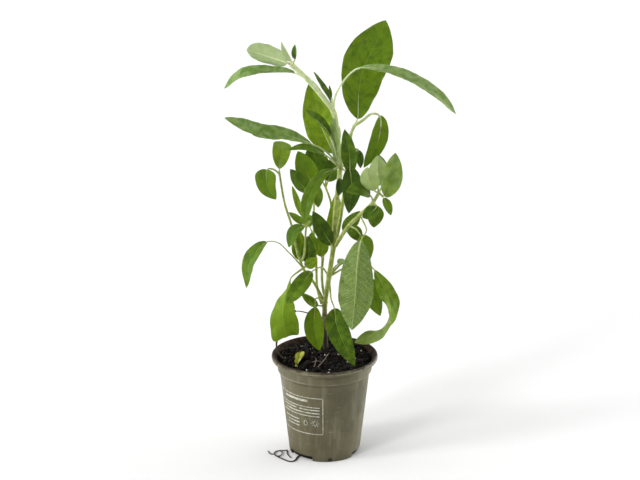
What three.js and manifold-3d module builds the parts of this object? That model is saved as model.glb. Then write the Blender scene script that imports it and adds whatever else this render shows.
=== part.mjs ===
// A potted sage: a round plastic nursery pot, its potting mix and one branching sage plant.
// Millimetres, +Z up. The origin is the middle of the pot's foot, and -Y is the front.
import * as THREE from "three";
import { mergeVertices } from "three/addons/utils/BufferGeometryUtils.js";
import Module from "manifold-3d";

const wasm = await Module();
wasm.setup();

// ---------------------------------------------------------------- driving dimensions
// Pot
const POT_HEIGHT = 97;
const RIM_RADIUS = 50; // outside of the rolled lip
const LIP_HEIGHT = 5;
const COLLAR_RADIUS = 44.8; // the wider band under the lip, at its top
const COLLAR_HEIGHT = 12.5;
const COLLAR_STEP = 2.6; // how far the collar stands out from the wall below it
const FOOT_RADIUS = 33.2;
const WALL = 1.2;
const SLOT_COUNT = 3; // drain slots, cut out of the corner of wall and floor
const SLOT_ANGLE = 50; // degrees of the corner that each slot takes
const SLOT_HEIGHT = 5;
const SLOT_DEPTH = 6; // how far a slot runs in under the pot
const SLOT_MIDDLE = -15; // degrees, the middle of the first slot
const POT_SIDES = 48;

// Potting mix
const SOIL_LEVEL = 92; // mean height of its surface at the wall
const MOUND_HEIGHT = 5; // heaped round the stem
const MOUND_SPREAD = 19; // radius at which the mound has fallen to 60 %
const MOUND_MIDDLE = [1, 12];
const SOIL_RELIEF = 1; // height of its lumps
const SOIL_RINGS = 8;
const SOIL_SIDES = 36;

// Plant
const BLADE_HALF = 0.42; // half the thickness of a blade at its midrib
const EDGE_HALF = 0.32; // and at its edge
const PETIOLE_RADIUS = 1;
const PETIOLE_TAPER = [1.15, 0.55]; // of that radius, at the stem and under the blade
const RIB_SHARE = 0.25; // share of a blade that the petiole runs on under it
const SEAT_GAP = 0.3; // between pieces that touch
const STEM_SIDES = 7;
const PETIOLE_SIDES = 4;
const BLADE_STEP = 9; // mean length of a blade between rows of points
const WIDE_BLADE = 18; // blades from this width on get two strips on each side of the midrib
const WAVE_LENGTH = 17; // of a rippled margin
const HALF_MARGIN = 0.5; // least half-width of a blade, at its two ends
const FOOT_FULLNESS = 0.62; // powers that round a blade off towards its foot and its tip
const TIP_FULLNESS = 0.85;
const FOLD_TAPER = [1.2, 0.6]; // of a blade's fold, at its foot and at its tip
const LOBE_POWER = 4; // a higher power keeps a notched blade's lobes nearer to its tip

// ---------------------------------------------------------------- solids and meshes
function solidOf(geometry) {
  const bare = geometry.index ? geometry.toNonIndexed() : geometry;
  const positions = new THREE.BufferGeometry();
  positions.setAttribute("position", bare.getAttribute("position"));
  const merged = mergeVertices(positions, 1e-4);
  return new wasm.Manifold(
    new wasm.Mesh({
      numProp: 3,
      vertProperties: merged.attributes.position.array,
      triVerts: new Uint32Array(merged.index.array),
    }),
  );
}

// The largest body of a solid, without loose scraps.
function mainBody(solid) {
  return solid.decompose().reduce((a, b) => (b.volume() > a.volume() ? b : a));
}

function meshOf(name, solid, material) {
  const { numProp, vertProperties, triVerts } = mainBody(solid).getMesh();
  const geometry = new THREE.BufferGeometry();
  const positions = new Float32Array((vertProperties.length / numProp) * 3);
  for (let i = 0; i < positions.length / 3; i++) {
    positions.set(vertProperties.subarray(i * numProp, i * numProp + 3), i * 3);
  }
  geometry.setAttribute("position", new THREE.BufferAttribute(positions, 3));
  geometry.setIndex(new THREE.BufferAttribute(new Uint32Array(triVerts), 1));
  geometry.computeVertexNormals();
  const mesh = new THREE.Mesh(geometry, material);
  mesh.name = name;
  return mesh;
}

function geometryOf(points, triangles) {
  const geometry = new THREE.BufferGeometry();
  geometry.setFromPoints(points);
  geometry.setIndex(triangles);
  return geometry;
}

// A closed body through rings of points, each ring anticlockwise as seen from the far end.
function loft(rings) {
  const sides = rings[0].length;
  const points = rings.flat();
  const triangles = [];
  for (let i = 0; i + 1 < rings.length; i++) {
    for (let j = 0; j < sides; j++) {
      const a = i * sides + j;
      const b = i * sides + ((j + 1) % sides);
      triangles.push(a, b, b + sides, a, b + sides, a + sides);
    }
  }
  const last = (rings.length - 1) * sides;
  for (let j = 1; j + 1 < sides; j++) {
    triangles.push(0, j + 1, j);
    triangles.push(last, last + j, last + j + 1);
  }
  return geometryOf(points, triangles);
}

// ---------------------------------------------------------------- paths
const vector = ([x, y, z]) => new THREE.Vector3(x, y, z);
const FINE_STEPS = 16; // samples for each span of a path

// A smooth path through points, sampled finely, with its length so far at each sample.
class Path {
  constructor(points) {
    const spans = points.length - 1;
    const curve = new THREE.CatmullRomCurve3(points.map(vector), false, "centripetal");
    this.spots = curve.getPoints(spans * FINE_STEPS);
    this.lengths = [0];
    for (let i = 1; i < this.spots.length; i++) {
      this.lengths.push(this.lengths[i - 1] + this.spots[i].distanceTo(this.spots[i - 1]));
    }
  }
  // The length from the start to the point with that index.
  lengthTo(index) {
    return this.lengths[index * FINE_STEPS];
  }
  get length() {
    return this.lengths[this.lengths.length - 1];
  }
  at(length) {
    let i = 1;
    while (i < this.lengths.length - 1 && this.lengths[i] < length) i++;
    const share = (length - this.lengths[i - 1]) / (this.lengths[i] - this.lengths[i - 1]);
    return this.spots[i - 1].clone().lerp(this.spots[i], share);
  }
  tangent(length) {
    const ahead = this.at(Math.min(length + 0.5, this.length));
    return ahead.sub(this.at(Math.max(length - 0.5, 0))).normalize();
  }
}

// A round tube along a path from one length to another. radius is a function of the share.
function tube(path, from, to, radius, sides, steps) {
  const rings = [];
  let across = new THREE.Vector3(0.31, 0.87, 0.11);
  for (let i = 0; i <= steps; i++) {
    const length = from + ((to - from) * i) / steps;
    const middle = path.at(length);
    const along = path.tangent(length);
    const up = across.clone().addScaledVector(along, -across.dot(along)).normalize();
    const side = new THREE.Vector3().crossVectors(along, up);
    across = up;
    const ring = [];
    for (let j = 0; j < sides; j++) {
      const turn = (2 * Math.PI * j) / sides;
      ring.push(
        middle
          .clone()
          .addScaledVector(up, radius(i / steps) * Math.cos(turn))
          .addScaledVector(side, radius(i / steps) * Math.sin(turn)),
      );
    }
    rings.push(ring);
  }
  return solidOf(loft(rings));
}

// ---------------------------------------------------------------- leaves
// Half-width of a blade as a share of its greatest, from foot (0) to tip (1). belly is where the
// blade is widest, and a higher point makes a blunter tip.
function bladeOutline(share, belly, point) {
  if (share < belly) return (1 - (1 - share / belly) ** 2) ** FOOT_FULLNESS;
  return (1 - ((share - belly) / (1 - belly)) ** point) ** TIP_FULLNESS;
}

// A leaf is a stalk and a blade on one path: from the stem, past the stalk's bends, to the blade's
// foot, and on along its midrib to the tip. The stalk runs on under the blade as its rib.
function leafSolid(leaf, stemPoint) {
  const bends = leaf.petiole ?? [];
  const path = new Path([stemPoint, ...bends, ...leaf.blade]);
  const foot = path.lengthTo(bends.length + 1);
  const ribEnd = foot + (path.length - foot) * RIB_SHARE;
  const stalk = leaf.stalk ?? PETIOLE_RADIUS;
  const radius = (share) => stalk * THREE.MathUtils.lerp(...PETIOLE_TAPER, share);
  const steps = 2 + 2 * bends.length;
  return tube(path, 0, ribEnd, radius, PETIOLE_SIDES, steps).add(bladeSolid(leaf, path, foot));
}

// face is the way that the upper side looks at the middle of the blade. fold lifts each half from
// the midrib and roll turns the blade from foot to tip, both in degrees. ripple is the height of
// the margin's waves, and notch is how far two lobes reach past the end of the midrib.
function bladeSolid(leaf, path, foot) {
  const { width, face, fold = 14, roll = 0, ripple = 0, belly = 0.42, point = 1.9, notch = 0 } = leaf;
  const length = path.length - foot;
  const across = width >= WIDE_BLADE ? 4 : 2;
  const along = Math.max(5, Math.round(length / BLADE_STEP));
  const middleTangent = path.tangent(foot + length / 2);
  const sideHint = new THREE.Vector3().crossVectors(middleTangent, vector(face)).normalize();
  const top = [];
  const bottom = [];
  for (let i = 0; i <= along; i++) {
    const share = (1 - Math.cos((Math.PI * i) / along)) / 2; // rows lie closer at both ends
    const middle = path.at(foot + length * share);
    const ahead = path.tangent(foot + length * share);
    const side = sideHint.clone().addScaledVector(ahead, -sideHint.dot(ahead)).normalize();
    side.applyAxisAngle(ahead, THREE.MathUtils.degToRad(roll * (share - 0.5)));
    const up = new THREE.Vector3().crossVectors(side, ahead);
    const fullness = bladeOutline(share, belly, point);
    const half = Math.max(HALF_MARGIN, (width / 2) * fullness);
    const lift = THREE.MathUtils.degToRad(fold * THREE.MathUtils.lerp(...FOLD_TAPER, share));
    for (let j = 0; j <= across; j++) {
      const out = (2 * j) / across - 1;
      const phase = out > 0 ? 0.6 : 2.2;
      const wave = Math.sin((2 * Math.PI * share * length) / WAVE_LENGTH + phase);
      const rise = half * Math.abs(out) * Math.sin(lift) + ripple * out * out * wave * fullness;
      const spot = middle.clone().addScaledVector(side, half * out * Math.cos(lift));
      spot.addScaledVector(up, rise);
      spot.addScaledVector(ahead, notch * (fullness * out) ** 2 * share ** LOBE_POWER);
      const thickness = THREE.MathUtils.lerp(BLADE_HALF, EDGE_HALF, Math.abs(out));
      top.push(spot.clone().addScaledVector(up, thickness));
      bottom.push(spot.addScaledVector(up, -thickness));
    }
  }
  return solidOf(sheet(top, bottom, along, across));
}

// A closed sheet between two grids of points. Both faces are split into triangles alike.
function sheet(top, bottom, along, across) {
  const row = across + 1;
  const below = top.length;
  const triangles = [];
  for (let i = 0; i < along; i++) {
    for (let j = 0; j < across; j++) {
      const a = i * row + j;
      const [b, c, d] = [a + 1, a + row + 1, a + row];
      triangles.push(a, b, c, a, c, d);
      triangles.push(below + a, below + c, below + b, below + a, below + d, below + c);
    }
    const left = i * row;
    const right = left + across;
    triangles.push(left, left + row, below + left + row, left, below + left + row, below + left);
    triangles.push(right, below + right, below + right + row, right, below + right + row, right + row);
  }
  const last = along * row;
  for (let j = 0; j < across; j++) {
    triangles.push(j, below + j, below + j + 1, j, below + j + 1, j + 1);
    const end = last + j;
    triangles.push(end, end + 1, below + end + 1, end, below + end + 1, below + end);
  }
  return geometryOf([...top, ...bottom], triangles);
}

// ---------------------------------------------------------------- the plant
// A spine runs from its shoot's foot to its tip, and node is the index of the spine point that a
// leaf grows from. petiole lists the bends of a leaf's stalk, and blade the points of its midrib
// from foot to tip.
const WOODY_STEM = {
  name: "woody_stem",
  spine: [[1, 12, 68], [1, 12, 94], [0, 10, 117], [0, 8, 138]],
  radii: [2.8, 2.4],
  leaves: [
    // dried up and curled, on a dark stalk
    {
      node: 2,
      petiole: [[-5, 8, 133], [-15, 4, 136], [-22, -2, 140]],
      blade: [[-26, -4, 141], [-30, -6, 138], [-27, -9, 132]],
      width: 7, face: [-0.6, -0.6, 0.5], fold: 50, roll: 90, stalk: 0.8,
    },
  ],
};

const SHOOTS = [
  {
    name: "leader_shoot",
    spine: [
      [0, 8, 138.5], [0, 8, 142], [4, 5, 172], [8, 3, 202], [10, 2, 239], [14, 0, 281],
      [12, -2, 308], [8, -4, 335], [0, -5, 347], [-15, -7, 366], [-30, -8, 381],
    ],
    radii: [2.2, 2.4],
    leaves: [
      // the growing tip: a pale underside, a folded young leaf and a bud
      {
        node: 10,
        blade: [[-34, -6, 382], [-52, 2, 386], [-71, 8, 390.5]],
        width: 23, face: [0, 0.9, 0.4], point: 4.5, stalk: 1.5,
      },
      {
        node: 10,
        blade: [[-30, -12, 385], [-34, -14, 394], [-39, -15, 404]],
        width: 10, face: [-1, 0.5, -0.4], fold: 45, stalk: 1.6,
      },
      {
        node: 10,
        blade: [[-27, -6, 385], [-27, -3, 392], [-27, -2, 398]],
        width: 7, face: [-1, -1, 0.4], fold: 30,
      },
      {
        node: 9,
        blade: [[-27, -5, 372], [-46, 3, 371], [-64, 8, 369.5], [-79, 13, 364], [-92, 18, 351]],
        width: 15, face: [0, -0.4, 0.95], fold: 22, roll: -50, point: 2.6,
      },
      // at the upper fork
      {
        node: 7,
        blade: [[6, -3, 343], [-3, 0, 358], [-10, 3, 371]],
        width: 11, face: [0.8, -0.3, 0.5], fold: 25,
      },
      { node: 7, blade: [[6, -8, 350], [5, -9, 356], [4, -10, 362]], width: 3, face: [0, -1, 0] },
      {
        node: 7,
        petiole: [[9, -8, 349], [14, -12, 362], [23, -16, 375]],
        blade: [[31, -20, 381], [54, -27, 381], [77, -34, 375], [102, -42, 361], [117, -46, 346]],
        width: 14, face: [0.2, -0.45, 0.9], fold: 20, belly: 0.5, point: 3.4,
      },
      // at the middle fork
      {
        node: 5,
        blade: [[8, 8, 292], [-5, 28, 317], [-13, 42, 353]],
        width: 32, face: [0.1, -1, 0.1], ripple: 0.8, belly: 0.32, stalk: 1.3,
      },
      {
        node: 5,
        petiole: [[11, -5, 294]],
        blade: [[5, -8, 313], [-6, -10, 329], [-18, -12, 340]],
        width: 12, face: [0.7, -0.4, 0.5], fold: 22, stalk: 1.2,
      },
      {
        node: 5,
        petiole: [[2, -6, 297]],
        blade: [[-12, -12, 307], [-36, -22, 319], [-57, -30, 324], [-75, -37, 333], [-90, -42, 341]],
        width: 17, face: [0.1, -0.6, 0.8], ripple: 0.4, belly: 0.62, point: 2.2,
      },
      {
        node: 5,
        petiole: [[6, -6, 290]],
        blade: [[0, -9, 296], [-18, -15, 305], [-34, -18, 303.5]],
        width: 8, face: [0, -0.7, 0.7], fold: 20,
      },
      {
        node: 5,
        blade: [[8, -10, 282], [-3, -22, 280], [-15, -34, 263], [-19, -38, 238]],
        width: 12, face: [0.3, -0.8, 0.5], belly: 0.6,
      },
      { node: 5, blade: [[22, -8, 279], [22, -14, 300], [18, -15, 322]], width: 15, face: [-0.2, -1, 0.1] },
      {
        node: 5,
        petiole: [[19, -5, 284]],
        blade: [[22, -9, 284], [24.5, -14, 266], [22, -14, 241]],
        width: 19, face: [0.2, -0.9, 0.4], belly: 0.35,
      },
      { node: 5, blade: [[14, -5, 272], [14, -7, 265], [13, -8, 256]], width: 8, face: [0, -1, 0.2] },
      { node: 5, blade: [[11, -4, 288], [9.5, -6, 306], [7, -7, 331]], width: 8.5, face: [-0.3, -1, 0] },
      // where the right shoot leaves
      { node: 3, blade: [[6, -3, 207], [-2, -6, 222], [-11, -8, 241]], width: 16, face: [0.2, -1, 0.1] },
      {
        node: 3,
        petiole: [[3, 8, 204]],
        blade: [[4, 15, 209], [10, 20, 228], [11, 22, 249]],
        width: 14, face: [0, -1, 0.2],
      },
      // reaching back from two forks
      {
        node: 5,
        petiole: [[17, 8, 285]],
        blade: [[19, 16, 288], [23, 36, 288], [27, 58, 276]],
        width: 17, face: [0.2, -0.3, 1],
      },
      {
        node: 2,
        petiole: [[9, 13, 178]],
        blade: [[13, 20, 179], [24, 38, 172], [36, 54, 156]],
        width: 17, face: [0.3, 0.1, 1],
      },
      // low leaves, hanging over the pot
      {
        node: 2,
        petiole: [[23, 15, 179], [40, 22, 178]],
        blade: [[47, 23, 172], [57, 19, 153], [62, 12, 140], [59, 3, 127], [49, -5, 120], [28, -12, 112.5]],
        width: 21, face: [0.91, -0.41, 0], roll: -240, ripple: 0.5, belly: 0.54, point: 2.6,
      },
      {
        node: 2,
        petiole: [[18, 15, 182]],
        blade: [[33, 22, 169], [44, 30, 146], [53, 36, 121]],
        width: 19, face: [0.1, -1, 0.3],
      },
      {
        node: 2,
        petiole: [[-3, -8, 186]],
        blade: [[-12, -20, 186], [-22, -31, 177], [-36, -35, 159]],
        width: 16, face: [-0.2, -0.9, 0.4],
      },
      {
        node: 1,
        petiole: [[-6, -1, 153], [-9, -9, 154]],
        blade: [[-9, -14, 149], [-10, -18, 131], [-5, -15, 106]],
        width: 19, face: [-0.1, -1, 0.2],
      },
      {
        node: 2,
        petiole: [[5, -6, 165], [6, -15, 157]],
        blade: [[9, -20, 150], [11, -25, 135], [17, -29, 120], [28, -32, 97]],
        width: 22, face: [0, -0.95, 0.3], belly: 0.26,
      },
      { node: 1, blade: [[-6, 3, 144], [-14, 0, 150], [-22, -1, 158]], width: 9, face: [0.2, -0.8, 0.6] },
    ],
  },
  {
    name: "upright_shoot",
    spine: [[9, 4, 203], [13, 9, 219], [17, 12, 245], [21, 12, 279], [24, 10, 309], [27, 9, 318]],
    radii: [1.8, 1.3],
    leaves: [
      {
        node: 5,
        blade: [[30, 11, 324], [31, 19, 346], [36, 29, 369], [46, 37, 387], [56, 46, 408]],
        width: 43, face: [0.1, -1, 0.2], ripple: 0.9, belly: 0.6, point: 1.7,
      },
      {
        node: 5,
        petiole: [[35, 7, 324], [43, 7, 330]],
        blade: [[50, 8, 328], [49, 10, 303], [36, 8, 278]],
        width: 17, face: [0.3, -1, 0.1], fold: 8, stalk: 1.5,
      },
      {
        node: 4,
        petiole: [[26, 7, 293]],
        blade: [[30, 4, 296], [32, 2, 289], [33, 0, 280]],
        width: 8, face: [0.3, -1, 0.1],
      },
    ],
  },
  {
    name: "right_shoot",
    spine: [[10, 1, 204], [14, -4, 213], [22, -12, 228], [32, -22, 242], [44, -32, 258], [49, -38, 269]],
    radii: [1.8, 1.4],
    leaves: [
      {
        node: 5,
        blade: [[54, -39, 266], [60, -36, 286], [64, -32, 305]],
        width: 22, face: [0.3, -1, 0.1], fold: 24,
      },
      {
        node: 5,
        blade: [[45, -42, 272], [40, -47, 284], [38, -50, 297]],
        width: 18, face: [0.15, 1, 0.2],
      },
      {
        node: 5,
        blade: [[48, -34, 274], [48.5, -28, 286], [48, -24, 300]],
        width: 19, face: [0.1, 1, 0.3],
      },
      {
        node: 5,
        petiole: [[51, -30, 270]],
        blade: [[54, -22, 278], [53, -16, 287], [49, -12, 297]],
        width: 9, face: [0.3, -1, 0],
      },
      {
        node: 4,
        blade: [[41, -39, 267], [31, -46, 275], [19, -50, 274]],
        width: 16, face: [-0.1, -0.7, 0.7],
      },
      { node: 4, blade: [[47, -36, 255], [42, -38, 250], [34, -40, 246]], width: 13, face: [0, -0.8, 0.5] },
      {
        node: 4,
        blade: [[45, -26, 254], [46, -20, 244], [45, -16, 228]],
        width: 17, face: [0.2, -1, 0.3], fold: 30,
      },
      {
        node: 5,
        blade: [[53, -41, 265], [57, -44, 258], [60, -46, 250]],
        width: 9, face: [0.5, -0.9, 0.3],
      },
      {
        node: 3,
        petiole: [[36, -28, 236], [38, -34, 231]],
        blade: [[33, -38, 223], [30, -42, 203], [28, -45, 173], [25, -42, 137]],
        width: 33, face: [0.1, 1, 0.1], ripple: 1.4, belly: 0.57, point: 1.9, stalk: 0.8,
      },
      {
        node: 2,
        petiole: [[28, -6, 223]],
        blade: [[33, 0, 215], [37, 8, 200], [41, 14, 184]],
        width: 18, face: [0.3, -1, 0.2],
      },
      { node: 1, blade: [[17, 0, 219], [25, 8, 225], [33, 16, 233]], width: 13, face: [0, -0.9, 0.4] },
      { node: 1, blade: [[20, 1, 219], [27, 5, 217], [34, 8, 206]], width: 13, face: [0, -0.9, 0.3] },
    ],
  },
  {
    name: "left_shoot",
    spine: [
      [-1, 9, 147], [-10, 5, 166], [-20, -2, 183], [-27, 0, 205],
      [-31, 4, 224], [-37, 10, 242], [-42, 18, 269],
    ],
    radii: [1.4, 1],
    leaves: [
      {
        node: 6,
        blade: [[-42, 20, 273], [-41, 26, 284], [-39, 34, 295]],
        width: 18, face: [0.2, -1, 0.3], belly: 0.72, point: 5,
      },
      {
        node: 6,
        petiole: [[-48, 13, 275]],
        blade: [[-53, 8, 276], [-53, 2, 263], [-45, -1, 250]],
        width: 21, face: [-0.3, -0.9, 0.4], belly: 0.22,
      },
      { node: 2, blade: [[-22, 2, 189], [-24, 5, 200], [-23, 7, 217]], width: 15, face: [0.2, -1, 0.1] },
      { node: 2, blade: [[-16, 0, 186], [-15, 0, 198], [-16, 0, 214]], width: 14, face: [0, -1, 0.1] },
      {
        node: 2,
        petiole: [[-25, -12, 193], [-34, -20, 206], [-43, -27, 217]],
        blade: [[-53, -31, 219], [-68, -36, 203], [-72, -38, 177]],
        width: 16, face: [-0.5, -0.6, 0.7], stalk: 0.75,
      },
      {
        node: 2,
        petiole: [[-30, -10, 178]],
        blade: [[-32, -14, 176], [-37, -20, 163], [-39, -25, 147], [-37, -27, 131], [-36, -25, 123]],
        width: 27, face: [-0.54, -0.84, 0.2], fold: -14, roll: -110, ripple: 1,
        belly: 0.74, point: 5, notch: 12,
      },
      { node: 2, blade: [[-18, -5, 186], [-13, -7, 190], [-7, -9, 196]], width: 11, face: [0, -1, 0.1] },
    ],
  },
  {
    name: "middle_left_shoot",
    spine: [[-21, -4, 191], [-19, -9, 199], [-18, -14, 215], [-17, -17, 228], [-14, -19, 235]],
    radii: [1.1, 0.9],
    leaves: [
      {
        node: 3,
        blade: [[-21, -13, 238], [-26, -8, 252], [-30, -6, 265]],
        width: 6.5, face: [0.3, -1, 0.2],
      },
      {
        node: 3,
        blade: [[-20, -15, 231], [-26, -13, 236], [-33, -11, 241]],
        width: 7, face: [0, -0.8, 0.5],
      },
      {
        node: 4,
        blade: [[-19, -23, 232], [-28, -28, 228], [-33, -31, 214]],
        width: 12, face: [-0.2, -0.8, 0.6],
      },
    ],
  },
  {
    name: "back_shoot",
    spine: [[2, 11, 143], [-2, 18, 158], [-2, 26, 180], [3, 34, 204], [6, 40, 231], [1, 44, 247]],
    radii: [1.4, 1],
    leaves: [
      { node: 5, blade: [[3, 46, 252], [7, 49, 262], [8, 52, 275]], width: 16, face: [-0.2, -1, 0.2] },
      { node: 5, blade: [[-3, 46, 254], [-8, 50, 268], [-12, 56, 286]], width: 25, face: [0.2, -1, 0.2] },
      {
        node: 5,
        petiole: [[1, 51, 252]],
        blade: [[0, 56, 255], [-5, 68, 258], [-10, 80, 252]],
        width: 13, face: [0, 0, 1],
      },
      { node: 2, blade: [[-3, 27, 184], [-3, 28, 194], [-2, 29, 208]], width: 14, face: [0, -1, 0.1] },
    ],
  },
  {
    name: "inner_left_shoot",
    spine: [[-3, 10, 143], [-7, 14, 158], [-8, 18, 182], [-10, 24, 204], [-10, 28, 232], [-9, 30, 249]],
    radii: [1.3, 0.9],
    leaves: [
      { node: 5, blade: [[-12, 30, 255], [-18, 31, 270], [-25, 30, 287]], width: 20, face: [0.2, -1, 0.1] },
      {
        node: 5,
        blade: [[-15, 27, 249], [-24, 25, 259], [-32, 22, 272]],
        width: 14, face: [0.2, -0.8, 0.4],
      },
      { node: 5, blade: [[-9, 25, 256], [-7, 22, 248], [-6, 20, 235]], width: 11, face: [0, -1, 0.2] },
      {
        node: 3,
        petiole: [[-12, 30, 208]],
        blade: [[-14, 34, 211], [-18, 46, 216], [-22, 58, 213]],
        width: 13, face: [0, 0, 1],
      },
      { node: 2, blade: [[-10, 16, 188], [-12, 13, 200], [-12, 12, 214]], width: 13, face: [0.1, -1, 0.1] },
    ],
  },
];

// A small yellowed leaf that has dropped and leans on the mix.
const FALLEN_LEAF = {
  foot: [-27, -24, 94.2],
  blade: [[-26, -21, 94.4], [-24, -12, 96.6], [-22, -3, 99.7]],
  width: 9.5, face: [-0.3, 0, 1], fold: 20, belly: 0.7, point: 4,
};

// Thin roots that have grown out of a drain slot and lie on the ground.
const ROOTS = [
  {
    path: [
      [-23, -18.5, 0.65], [-25.8, -22.5, 0.65], [-27.3, -28.5, 0.7], [-29.8, -32.3, 0.7],
      [-33.3, -32.6, 0.7], [-39.3, -27.2, 0.7], [-45, -21, 0.7], [-47.7, -15.6, 0.7],
      [-46.9, -10.6, 0.7], [-43.3, -7.8, 0.7], [-38.6, -7.5, 0.7], [-35, -6.6, 0.7],
    ],
    radius: 0.6,
  },
  {
    path: [[-44.6, -21.2, 0.7], [-42, -19.6, 0.8], [-40.5, -16, 0.8], [-40.8, -11, 0.8], [-42.5, -8, 0.7]],
    radius: 0.45,
  },
  { path: [[-35.4, -7, 0.6], [-35.8, -12, 0.5], [-34.4, -18, 0.5], [-32, -24, 0.5]], radius: 0.45 },
  { path: [[-47.6, -15.6, 0.6], [-50.5, -15.2, 0.5], [-52.8, -12, 0.5], [-53.8, -7.5, 0.5]], radius: 0.45 },
];

// ---------------------------------------------------------------- pot
const polar = (radius, degrees, height) => {
  const turn = THREE.MathUtils.degToRad(degrees);
  return new THREE.Vector3(radius * Math.cos(turn), radius * Math.sin(turn), height);
};

const LIP_FOOT = POT_HEIGHT - LIP_HEIGHT;
const COLLAR_FOOT = LIP_FOOT - COLLAR_HEIGHT;
const WALL_TOP_RADIUS = COLLAR_RADIUS - COLLAR_STEP;
const COLLAR_INSIDE = COLLAR_RADIUS - WALL - 0.3;

// The outside of the tapering wall at a height.
function wallRadius(height) {
  return THREE.MathUtils.lerp(FOOT_RADIUS, WALL_TOP_RADIUS, height / COLLAR_FOOT);
}

// A closed profile in (radius, height), turned about the pot's axis.
function turned(profile, sides) {
  const outline = profile.map(([radius, height]) => new THREE.Vector2(radius, height));
  const body = new THREE.LatheGeometry([...outline, outline[0]], sides);
  body.rotateX(Math.PI / 2);
  return solidOf(body);
}

function potSolid() {
  const body = turned(
    [
      [0, 0],
      [FOOT_RADIUS, 0],
      [WALL_TOP_RADIUS, COLLAR_FOOT],
      [COLLAR_RADIUS - 0.3, COLLAR_FOOT + COLLAR_STEP],
      [COLLAR_RADIUS, LIP_FOOT],
      [RIM_RADIUS - 0.7, LIP_FOOT + 0.3],
      [RIM_RADIUS, LIP_FOOT + 0.5 * LIP_HEIGHT],
      [RIM_RADIUS - 0.8, POT_HEIGHT - 0.4],
      [RIM_RADIUS - 1.8, POT_HEIGHT],
      [RIM_RADIUS - 3.2, POT_HEIGHT - 0.9],
      [COLLAR_RADIUS - WALL, LIP_FOOT - 1],
      [COLLAR_INSIDE, COLLAR_FOOT + COLLAR_STEP],
      [WALL_TOP_RADIUS - WALL, COLLAR_FOOT],
      [wallRadius(WALL) - WALL, WALL],
      [0, WALL],
    ],
    POT_SIDES,
  );
  return body.subtract(slotSolids());
}

function slotSolids() {
  const half = THREE.MathUtils.degToRad(SLOT_ANGLE / 2);
  const sector = new THREE.Shape();
  sector.absarc(0, 0, FOOT_RADIUS + SLOT_DEPTH, -half, half, false);
  sector.absarc(0, 0, FOOT_RADIUS - SLOT_DEPTH, half, -half, true);
  const slots = [];
  for (let i = 0; i < SLOT_COUNT; i++) {
    const settings = { depth: 2 * SLOT_HEIGHT, bevelEnabled: false, curveSegments: 6 };
    const slot = new THREE.ExtrudeGeometry(sector, settings);
    slot.translate(0, 0, -SLOT_HEIGHT);
    slot.rotateZ(THREE.MathUtils.degToRad(SLOT_MIDDLE - (360 / SLOT_COUNT) * i));
    slots.push(solidOf(slot));
  }
  return slots.reduce((all, slot) => all.add(slot));
}

// ---------------------------------------------------------------- potting mix
// The height of the surface: a mound round the stem, with lumps from a few waves.
function soilHeight(x, y) {
  const apart = (x - MOUND_MIDDLE[0]) ** 2 + (y - MOUND_MIDDLE[1]) ** 2;
  const mound = MOUND_HEIGHT * Math.exp(-apart / (2 * MOUND_SPREAD ** 2));
  const swell = Math.sin(0.31 * x + 1.7) * Math.cos(0.27 * y - 0.4);
  const lumps = 0.7 * Math.sin(0.61 * x - 0.53 * y);
  const grain = 0.5 * Math.sin(1.3 * x + 0.9 * y) * Math.cos(1.1 * y - 0.8 * x);
  return SOIL_LEVEL + mound + SOIL_RELIEF * (swell + lumps + grain);
}

function soilRing(radius, height) {
  const ring = [];
  for (let i = 0; i < SOIL_SIDES; i++) {
    const spot = polar(radius, (360 * i) / SOIL_SIDES, 0);
    spot.z = height ?? soilHeight(spot.x, spot.y);
    ring.push(spot);
  }
  return ring;
}

function soilSolid() {
  const bottom = WALL + SEAT_GAP;
  const edge = COLLAR_INSIDE - SEAT_GAP;
  const rings = [
    soilRing(wallRadius(bottom) - WALL - SEAT_GAP, bottom),
    soilRing(wallRadius(COLLAR_FOOT) - WALL - SEAT_GAP, COLLAR_FOOT),
    soilRing(edge, COLLAR_FOOT + COLLAR_STEP + SEAT_GAP),
  ];
  for (let i = 0; i < SOIL_RINGS; i++) rings.push(soilRing(edge * (1 - i / (SOIL_RINGS - 0.3))));
  return solidOf(loft(rings));
}

// ---------------------------------------------------------------- stems, shoots and roots
function stemSolid({ spine, radii }, extra = 0) {
  const path = new Path(spine);
  const radius = (share) => THREE.MathUtils.lerp(radii[0], radii[1], share) + extra;
  return tube(path, 0, path.length, radius, STEM_SIDES, 2 * (spine.length - 1));
}

function shootSolid(shoot) {
  const leaves = shoot.leaves.map((leaf) => leafSolid(leaf, shoot.spine[leaf.node]));
  return leaves.reduce((all, leaf) => all.add(leaf), stemSolid(shoot));
}

function rootSolid({ path, radius }) {
  const route = new Path(path);
  return tube(route, 0, route.length, (share) => radius * (1 - 0.3 * share), 4, 2 * (path.length - 1));
}

function rootTuft() {
  return ROOTS.map(rootSolid).reduce((all, root) => all.add(root));
}

// ---------------------------------------------------------------- the part
const finish = (color, roughness) => new THREE.MeshStandardMaterial({ color, roughness, metalness: 0 });

const part = new THREE.Group();
part.name = "potted_sage";
part.add(meshOf("pot", potSolid(), finish(0x6e6b58, 0.55)));
const planted = soilSolid().subtract(stemSolid(WOODY_STEM, SEAT_GAP));
part.add(meshOf("soil", planted, finish(0x17120e, 0.95)));

// Each shoot is cut clear of the stems that it leaves from.
let stems = stemSolid(SHOOTS[0], SEAT_GAP);
part.add(meshOf("woody_stem", shootSolid(WOODY_STEM).subtract(stems), finish(0x5b4630, 0.8)));
part.add(meshOf(SHOOTS[0].name, shootSolid(SHOOTS[0]), finish(0x5d8230, 0.65)));
stems = stems.add(stemSolid(WOODY_STEM, SEAT_GAP));
for (const shoot of SHOOTS.slice(1)) {
  part.add(meshOf(shoot.name, shootSolid(shoot).subtract(stems), finish(0x6b8f35, 0.65)));
  stems = stems.add(stemSolid(shoot, SEAT_GAP));
}

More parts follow.
